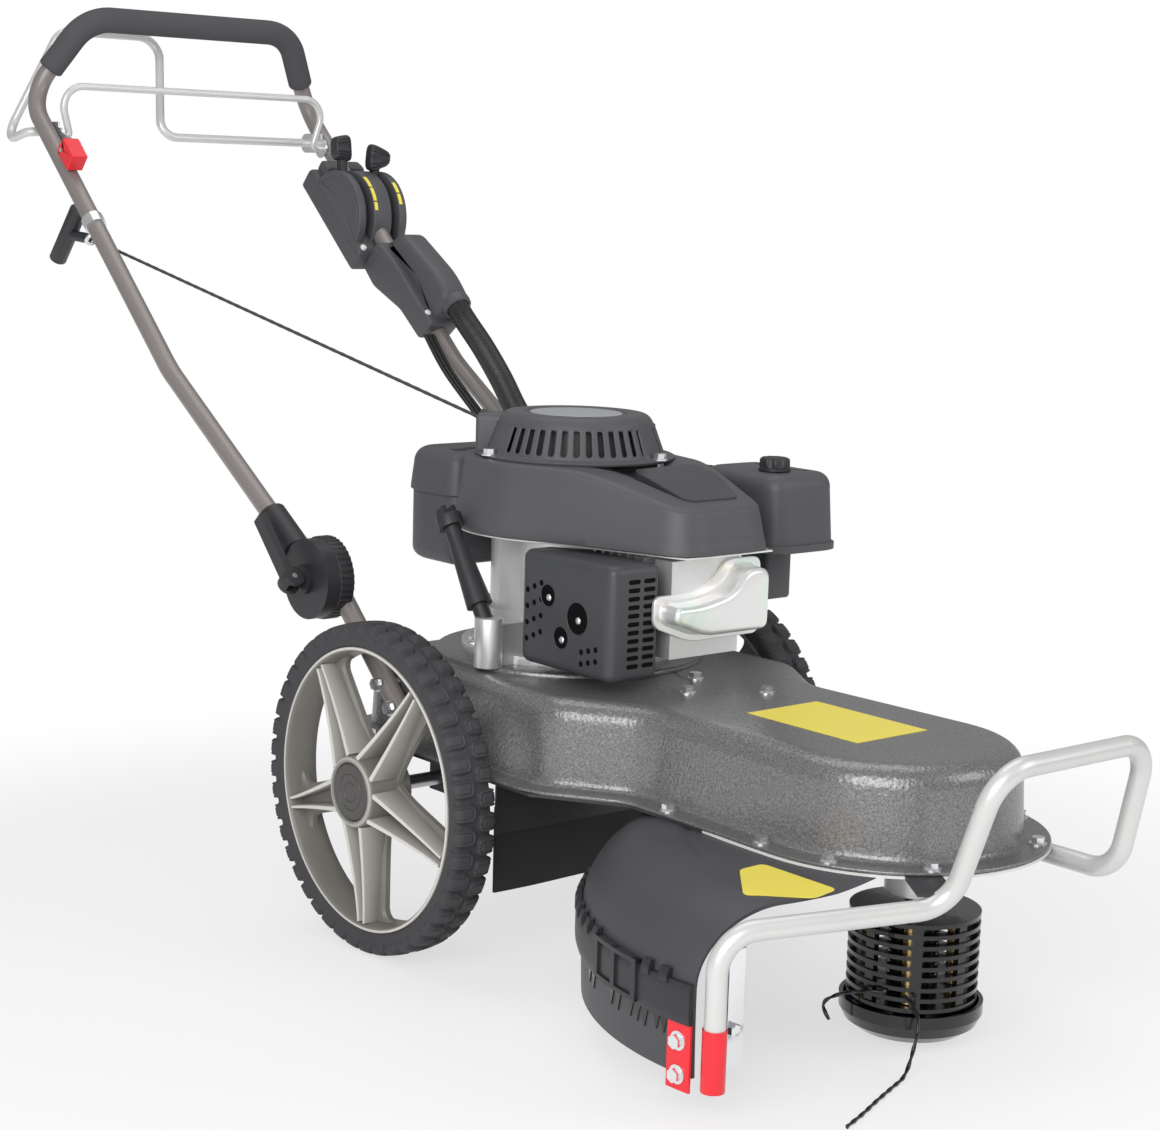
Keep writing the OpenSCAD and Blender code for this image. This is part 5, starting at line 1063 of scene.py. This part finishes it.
class BuildGuard(bpy.types.Operator):
    """Moulds the guard's dome, its clipped strap, its toothed skirt and its bright front strip"""
    bl_idname = "trimmer.guard"
    bl_label = "Build guard"

    def execute(self, context):
        self.dome()
        self.strap()
        self.skirt()
        a = math.radians(-83.4)
        out, along = np.array([math.cos(a), math.sin(a), 0]), np.array([-math.sin(a), math.cos(a), 0])
        strip = block((250, 0, -117), (272, 2, -12), lambda g: on(HEAD, out, along, (0, 0, 1), g), 0.6)
        bolt_at = HEAD + out * 266 + along * 2 + [0, 0, -82]
        bolt = spun([(6.5, 0), (6.5, 4.5), (5.4, 5.4), (3, 5.6)], bolt_at, along, 6)
        piece("front_strip", "chassis", ["Polished strip steel", "Bright zinc"], [strip, bolt])
        rim = even(fillet(PANEL_CORNERS, 7, 5), 80)
        flat = rim.mean(0) + np.linspace(0.03, 1, 10)[:, None, None] * (rim - rim.mean(0))
        past = np.maximum(np.linalg.norm(flat - HEAD[:2], axis=-1) - DOME_FLAT, 0)
        high = DOME_TOP - CORNER + np.sqrt(np.maximum(CORNER ** 2 - past ** 2, 0))
        film = stacked(flat[..., 0], flat[..., 1], high + 0.6)
        piece("guard_panel", "chassis", ["Yellow film"], [shell(np.concatenate([film, film[::-1] - [0, 0, 0.5]]))])
        return {"FINISHED"}

    def dome(self):
        """The dome's section turned about the head and drawn forward at the front, with a sunk line on top that follows
        r = 206 + 10 sin(2 turn) and a short one that joins it: each is a bell curve of the distance to its middle."""
        t = np.linspace(0, 1, 60)
        r, z = (v[:, None] for v in dome_profile(t))
        inner_r, inner_z = (v[:, None] for v in dome_profile(t, 3.6))
        deg = GUARD_BACK + (np.interp(r, *FRONT_EDGE) - GUARD_BACK) * np.linspace(0, 1, 120)[None]
        turn = np.radians(deg)
        bound = 206 + 10 * np.sin(2 * turn)
        ring = np.exp(-((r - bound) / 2.6) ** 2) * smoothstep(-163, -159, deg) * (1 - smoothstep(-112, -104, deg))
        cross = np.exp(-(((deg + 162) * r / 57.3) / 2.8) ** 2) * smoothstep(150, 156, r) * (1 - smoothstep(200, 206, r))
        sunk = z - 1.8 * np.maximum(ring, cross)
        piece("dome_moulding", "chassis", ["Grained guard plastic"],
              [thick(guard_points(r, turn, sunk), guard_points(inner_r, turn, inner_z))], ["guard_dome"], sharp=50)

    def strap(self):
        """A band round the dome's foot, with lugs along its upper edge and a buckle of five bars."""
        v = np.linspace(-1, 1, 9)[:, None]
        shells = [guard_sheet(318 - 1.6 * np.abs(v) ** 6, 312.3, GUARD_TURN, -51 + 18 * v)]
        for mid in (-180 + 4.3 * i for i in range(22)):
            if -110 < mid < -96 or mid > -86:  # the buckle's place, and past the front edge
                continue
            turn = np.radians(np.linspace(mid - 0.95, mid + 0.95, 6))[None]
            lug_z = np.linspace(-37, -24.5, 5)[:, None]
            bulge = 318.8 - 2.6 * smoothstep(-31, -24.5, lug_z)
            shells.append(guard_sheet(bulge, 312.4, turn, lug_z))
        left, right, low, top = -109.6, -96, -66, -28
        for turn_lo, turn_hi, z_lo, z_hi in ((left, -108.4, low, top), (-103.4, -102.2, low, top),
                                             (-97.2, right, low, top), (left, right, -32, top),
                                             (left, right, low, -62)):
            turn = np.radians(np.linspace(turn_lo, turn_hi, 8))[None]
            shells.append(guard_sheet(320.4, 314, turn, np.linspace(z_lo, z_hi, 4)[:, None]))
        piece("clipped_strap", "chassis", ["Black nylon"], shells, ["guard_strap"])

    def skirt(self):
        """A sheet that leans in by a square law, with narrow dark wedges where its teeth are cut: painted shade that
        stands in for the gaps.
        """
        v = np.linspace(0, 1, 12)[:, None]
        lean = 1.5 * v ** 2
        skirt = [guard_sheet(312 - lean, 308.4 - lean, GUARD_TURN, -51.5 - 65 * v)]
        for mid, drop in ((-116, 16), (-113.6, 18), (-105.4, 17), (-103, 18), (-99, 16), (-97, 17), (-95, 18),
                          (-92, 15), (-90.2, 16), (-88.4, 17)):
            down = np.linspace(0, 1, 5)[:, None]
            narrow = np.radians(mid + np.linspace(-0.95, 0.95, 5)[None] * (1 - down * 0.96))
            # Painted shade: a dark wedge on the sheet stands in for the cut between two teeth
            skirt.append(guard_sheet(312.9, 311, narrow, -69 - drop * down, finish=1))
        piece("toothed_skirt", "chassis", ["Grained guard plastic", "Polished black plastic and painted gap shade"], skirt, ["guard_skirt"])


# Controls and small parts


LEVER_AT = (290.0, -20.0)
QUADRANT_R, BEAD_R = 62, 56
KNOB_RIB, KNOB_PITCH = 0.7, 4.2
LEVERS = (  # piece, node, rise in degrees, sideways place, rod's end, knob's half axes, power, place and lean
    ("throttle_handle", "throttle_lever", 41, -20.5, 84, (17, 13, 10.5), 0.5, (92, 0, 0), -0.12),
    ("drive_handle", "drive_lever", 56, 20.5, 76, (15, 17, 10), 0.56, (81, 4, 0), 0.42),
)


def across(outline, low, high, soft, steps=4):
    """An outline in the tube's (s, n) plane carried sideways from low to high, with rounded edges."""
    return moulded(outline, 150, soft_box(low, high, soft, soft, steps), lambda grid: tube_frame(grid[..., [0, 2, 1]]))


def about_pin(r, a, y=0.0):
    """Points about the levers' pin in the tube's frame: radius, angle from the tube, and sideways place."""
    return stacked(LEVER_AT[0] + r * np.cos(a), y, LEVER_AT[1] + r * np.sin(a))


def quadrant():
    """A half-round outline about the levers' pin, flat below."""
    low = -11
    arc = about_pin(QUADRANT_R, np.radians(np.linspace(9, 171, 60)))[:, [0, 2]]
    return np.concatenate([arc, [[arc[-1, 0], low], [arc[0, 0], low]]])


def arc_strip(start, end, low, high):
    """A thin strip of the second finish that lies on the quadrant between two angles."""
    a = np.radians(np.linspace(start, end, 12))[:, None]
    return thick(*(tube_frame(about_pin(QUADRANT_R + off, a, [[low, high]])) for off in (0.5, -0.3)), finish=1)


def pebble(half, power, frame_of, lean):
    """A rounded block, the superellipsoid whose half axes are given: sines and cosines are raised to a power below
    one. Ribs follow a cosine of its height on the sides that face along z, and lean narrows it towards one side."""
    def bulge(v):
        return np.sign(v) * np.abs(v) ** power

    u = np.linspace(-math.pi / 2, math.pi / 2, 60)[1:-1, None]
    v = circle(44)[None]
    x = half[0] * bulge(np.sin(u))
    y = half[1] * bulge(np.cos(u)) * bulge(np.cos(v))
    z = half[2] * bulge(np.cos(u)) * bulge(np.sin(v))
    facing = smoothstep(0.3, 0.9, np.abs(np.sin(v))) * np.cos(u) ** 0.3
    z = z + np.sign(z) * KNOB_RIB * np.cos(2 * math.pi * x / KNOB_PITCH) * facing
    x = x * (1 - lean * y / half[1])
    return shell(frame_of(stacked(x, y, z)))


def lever_frame(rise, y):
    """A lever's own frame: x along the lever from its pin, y sideways, z square to both."""
    c, s = math.cos(math.radians(rise)), math.sin(math.radians(rise))
    origin = tube_frame(np.array([LEVER_AT[0], y, LEVER_AT[1]]))
    return lambda grid: on(origin, c * UP_TUBE + s * OFF_TUBE, SIDE, c * OFF_TUBE - s * UP_TUBE, grid)


def screw(at, axis, radius=4.5, finish=0):
    """A round-headed screw: a flat dome with a turned edge."""
    return spun([(radius, -2), (radius, 0.6), (radius * 0.86, 1.6), (radius * 0.55, 2.3), (0.6, 2.6)], at, axis, 24,
                finish=finish)


class BuildControls(bpy.types.Operator):
    """Moulds the control box with its quadrants, both levers and the air intake box"""
    bl_idname = "trimmer.controls"
    bl_label = "Build controls"

    def execute(self, context):
        self.control_box()
        for name, node, rise, y, end, half, power, at, lean in LEVERS:
            own = lever_frame(rise, y)
            shells = [block((-10, -5.4, -6), (end, 5.4, 6), own, 2.5),
                      pebble(half, power, lambda g: own(g + np.array(at)), lean)]
            piece(name, node, ["Black nylon"], shells, [node])
        self.intake_box()
        return {"FINISHED"}

    def control_box(self):
        """A base with a ledge, three quadrants with the levers' slots between them, a bead on each outer face, plain
        yellow marks and screws."""
        base = fillet([(211, -43), (377, -43), (377, -16), (371, -8), (218, -8), (211, -15)], 4, 4)
        ledge = fillet([(213, -41.5), (375, -41.5), (375, -18), (213, -18)], 3, 4)
        cap = fillet([(352, -10), (374, -10), (374, 6), (360, 10), (352, 10)], 4, 4)
        shells = [across(base, -38.6, 38.6, 2.5), across(ledge, -39.6, 39.6, 1.2)]
        for low, high in ((-38.8, -26.8), (-14.2, 14.2), (26.8, 38.8)):
            shells.append(across(quadrant(), low, high, 2.2))
        for y in (-38.6, 38.6):
            edge = about_pin(BEAD_R, np.radians(np.linspace(12, 168, 50)), y)
            shells.append(swept(tube_frame(edge), 1.5, 10))
        shells.append(across(cap, -30, 30, 3))
        for low, high, marks in ((-13.2, -8.4, ((78, 96), (98, 116), (118, 128))),
                                 (27.6, 32.4, ((88, 104), (106, 120)))):
            shells.extend(arc_strip(a, b, low, high) for a, b in marks)
        for y in (-31, 31):
            shells.append(screw(tube_frame(np.array([219, y, -7.6])), OFF_TUBE, finish=2))
        piece("control_moulding", "upper_handle", [ENGINE_PLASTIC, "Yellow film", "White strip"], shells,
              ["control_box"])

    def intake_box(self):
        """A box with a hump, a collar where the hose starts, and a screw."""
        box = fillet([(54, -14), (112, -17), (176.6, -38), (210.6, -36), (210.6, 12), (170.6, 19), (48, 20)], 7, 5)
        hump = fillet([(57, 8), (57, 58), (100, 62), (192, 46), (206, 12)], [6, 16, 20, 12, 6], 6)
        start, after = np.array(HOSE_ROUTE[:2])
        collar = spun([(15.4, -8), (19, -7), (19.6, 0), (19, 5), (17.6, 6.4), (15.6, 6.4)], start, after - start, 40,
                      caps=False, tall=True)
        shells = [across(box, -24, 24, 4), across(hump, -12, 28, 10, 6), collar,
                  screw(tube_frame(np.array([70, -17, 19.6])), OFF_TUBE, finish=1)]
        piece("intake_moulding", "upper_handle", [ENGINE_PLASTIC, "White strip"], shells, ["intake_box"])


HINGE = np.array([-158.0, 0, 197])
KNOB_AT = np.array([139, 165, 330])
SOFT_EDGES = {"bail_catch": 2, "crankcase": 1.5, "blower_plate": 0.8, "cam_lever_left": 2, "cam_lever_right": 2,
              "starter_grip": 3, "fuel_cap": 1.2, "dipstick": 1, "bumper_cap": 1}


class BuildTrim(bpy.types.Operator):
    """Adds the spool's brass posts, the muffler's box, the knob, the hinge shrouds, the rubber flap and soft edges"""
    bl_idname = "trimmer.trim"
    bl_label = "Build trim"

    def execute(self, context):
        self.posts()
        self.muffler_box()
        self.knob()
        self.shrouds()
        self.flap()
        self.soften()
        return {"FINISHED"}

    def posts(self):
        """Upright posts that show between the spool's bars."""
        count, reach, lead = 6, 46, 8
        turns = [math.radians(360 / count * i + lead) for i in range(count)]
        shells = [spun([(6.5, -107), (6.5, -33), (5, -32)], HEAD + [reach * math.cos(a), reach * math.sin(a), 0],
                       turns=20) for a in turns]
        piece("spool_posts", "trimmer_head", ["Brass"], shells)

    def muffler_box(self):
        """A pressed box with round corners: its outline in plan, narrower towards the cylinder, on soft levels, with
        round and long openings, drawn as flat dark patches of painted shade, whose edges are turned outwards."""
        low, top, back, front, face = 140.0, 258.0, 65.6, 213.6, -124.0
        out = (0, -1, 0)
        plan = fillet([(back, face), (front, face), (front, -62), (back + 38, -62), (back, -86)], [14, 14, 6, 8, 6], 8)
        shells = [moulded(plan, 160, soft_box(low, top, 9, 9), crank_frame)]
        for x, z, d in ((0.32, 0.64, 22), (0.64, 0.5, 32), (0.47, 0.3, 22)):
            at, r = CRANK + [back + x * (front - back), face, low + z * (top - low)], d / 2
            shells.append(spun([(r + 1.6, -1), (r + 1.4, 0.3), (r + 0.5, 0.7), (r, 0.2)], at, out, 40))
            # Painted shade: a flat dark disc stands in for the opening's dark inside
            shells.append(spun([(r, 0), (r, 0.4), (1, 0.45)], at, out, 40, finish=1))
            shells.append(screw(at + [1.5, 0.5, -2], out, 4, 2))
        small = [(back + 14 + i * 11, 26 + k * 17 + i * 5) for i in range(3) for k in range(4)]
        small += [(front - 46 + i * 11, 14 + k * 12 + i * 3) for i in range(3) for k in range(2)]
        # Painted shade: small dark discs stand in for small holes
        shells.extend(spun([(3, -0.5), (3, 0.25), (0.5, 0.3)], CRANK + [x, face, low + z], out, 16, finish=1)
                      for x, z in small)
        slits = 11
        step = 94 / slits
        slit = fillet([(-7.5, 0), (7.5, 0), (7.5, step - 4), (-7.5, step - 4)], 2.2, 4)
        for y in (28, 48):
            for i in range(slits):
                at = CRANK + [front, face + y, low + 14 + i * step]
                # Painted shade: flat dark slits stand in for long openings
                shells.append(moulded(slit, 32, [(0, 0), (0, 0.3), (-0.4, 0.35)], front_frame(at), 1))
        piece("muffler_box", "chassis", ["Heat-proof black", "Painted shade in openings", "Bright zinc"], shells,
              ["muffler_guard"])

    def knob(self):
        """A turned profile of (radius, height, share of the lobes), with nine flattened lobes."""
        a = circle(128)
        lobes = np.clip(1.6 * np.cos(9 * a), -1, 1)[None]
        rows = np.array([(16.6, 0.4, 0), (17.4, 1.2, 0), (17.4, 3.4, 0), (15.6, 4.4, 0.4), (15.4, 6, 1),
                         (15.2, 12.5, 1), (14.2, 14.4, 0.9), (12.4, 15.2, 0.6), (9, 15.4, 0), (8.4, 14.8, 0),
                         (2, 14.8, 0)])
        r = rows[:, :1] + rows[:, 2:] * (0.9 * lobes + 0.4)
        grid = stacked(r * np.cos(a), r * np.sin(a), rows[:, 1:2]) + KNOB_AT
        piece("lobed_knob", "filter_knob", ["Black nylon"], [shell(crank_frame(grid))], ["filter_knob"])

    def shrouds(self):
        """Rings round the hinges: a profile of (radius, sideways place, share of the teeth), with forty teeth."""
        a = circle(240)
        teeth = 0.5 * np.clip(2 * np.cos(40 * a), -1, 1)[None]
        rows = np.array([(24, 189.5, 0), (43, 189.5, 0), (44.4, 190.2, 1), (44.8, 192, 1), (44.8, 204.4, 1),
                         (44.4, 206.2, 1), (44.1, 206.4, 0), (44.05, 200, 0), (44.05, 190.3, 0), (24, 189.8, 0)])
        r = rows[:, :1] + rows[:, 2:] * (teeth + 0.5)
        for side, word in ((1, "left"), (-1, "right")):
            ring = stacked(r * np.cos(a), side * rows[:, 1:2], r * np.sin(a)) + HINGE
            piece(f"hinge_shroud_{word}", "chassis", ["Black nylon"], [shell(ring, caps=False, tall=True)])

    def flap(self):
        """A sheet whose lower edge waves a little."""
        y, z = np.linspace(-186, 186, 60)[:, None], np.linspace(0, 1, 14)
        wave = 136.4 + 1.6 * np.sin(y / 31) * (1 - z) ** 1.5
        sheet = stacked(wave, y, -86.9 + 89.8 * z)
        piece("flap_sheet", "chassis", ["Sheet rubber"], [thick(sheet + [3.2, 0, 0], sheet)], ["rear_flap"])

    def soften(self):
        """Rounds the sharp edges of some solids of the frame."""
        for node, width in SOFT_EDGES.items():
            solid = frame["nodes"][node]
            weld = solid.modifiers.new("Weld", "WELD")
            weld.merge_threshold = 0.00001
            soft = solid.modifiers.new("Soft edges", "BEVEL")
            soft.width, soft.segments, soft.limit_method = width / 1000, 3, "ANGLE"
            soft.angle_limit = math.radians(50)
            soft.harden_normals = True


class TrimmerPanel(bpy.types.Panel):
    """Lists the trimmer's colours, sizes and building steps"""
    bl_idname = "VIEW3D_PT_trimmer"
    bl_label = "String trimmer"
    bl_space_type = "VIEW_3D"
    bl_region_type = "UI"
    bl_category = "Trimmer"

    def draw(self, context):
        for group in (context.scene.trimmer_colours, context.scene.trimmer_sizes):
            for name in group.__annotations__:
                self.layout.prop(group, name)
        for step in STEPS:
            self.layout.operator(step.bl_idname)


STEPS = (MixFinishes, SetStage, LayCords, DressSolids, BuildWheels, BuildDeck, BuildEngine, BuildGuard,
         BuildControls, BuildTrim)
CLASSES = (TrimmerColours, TrimmerSizes, *STEPS, TrimmerPanel)


def register():
    """Registers the classes and the scene's settings."""
    for made in CLASSES:
        bpy.utils.register_class(made)
    bpy.types.Scene.trimmer_colours = PointerProperty(type=TrimmerColours)
    bpy.types.Scene.trimmer_sizes = PointerProperty(type=TrimmerSizes)


def unregister():
    """Takes the settings and the classes away again."""
    del bpy.types.Scene.trimmer_sizes
    del bpy.types.Scene.trimmer_colours
    for made in reversed(CLASSES):
        bpy.utils.unregister_class(made)


def main():
    """Builds everything in order."""
    register()
    for step in STEPS:
        group, name = step.bl_idname.split(".")
        getattr(getattr(bpy.ops, group), name)()


if __name__ == "__main__":
    main()
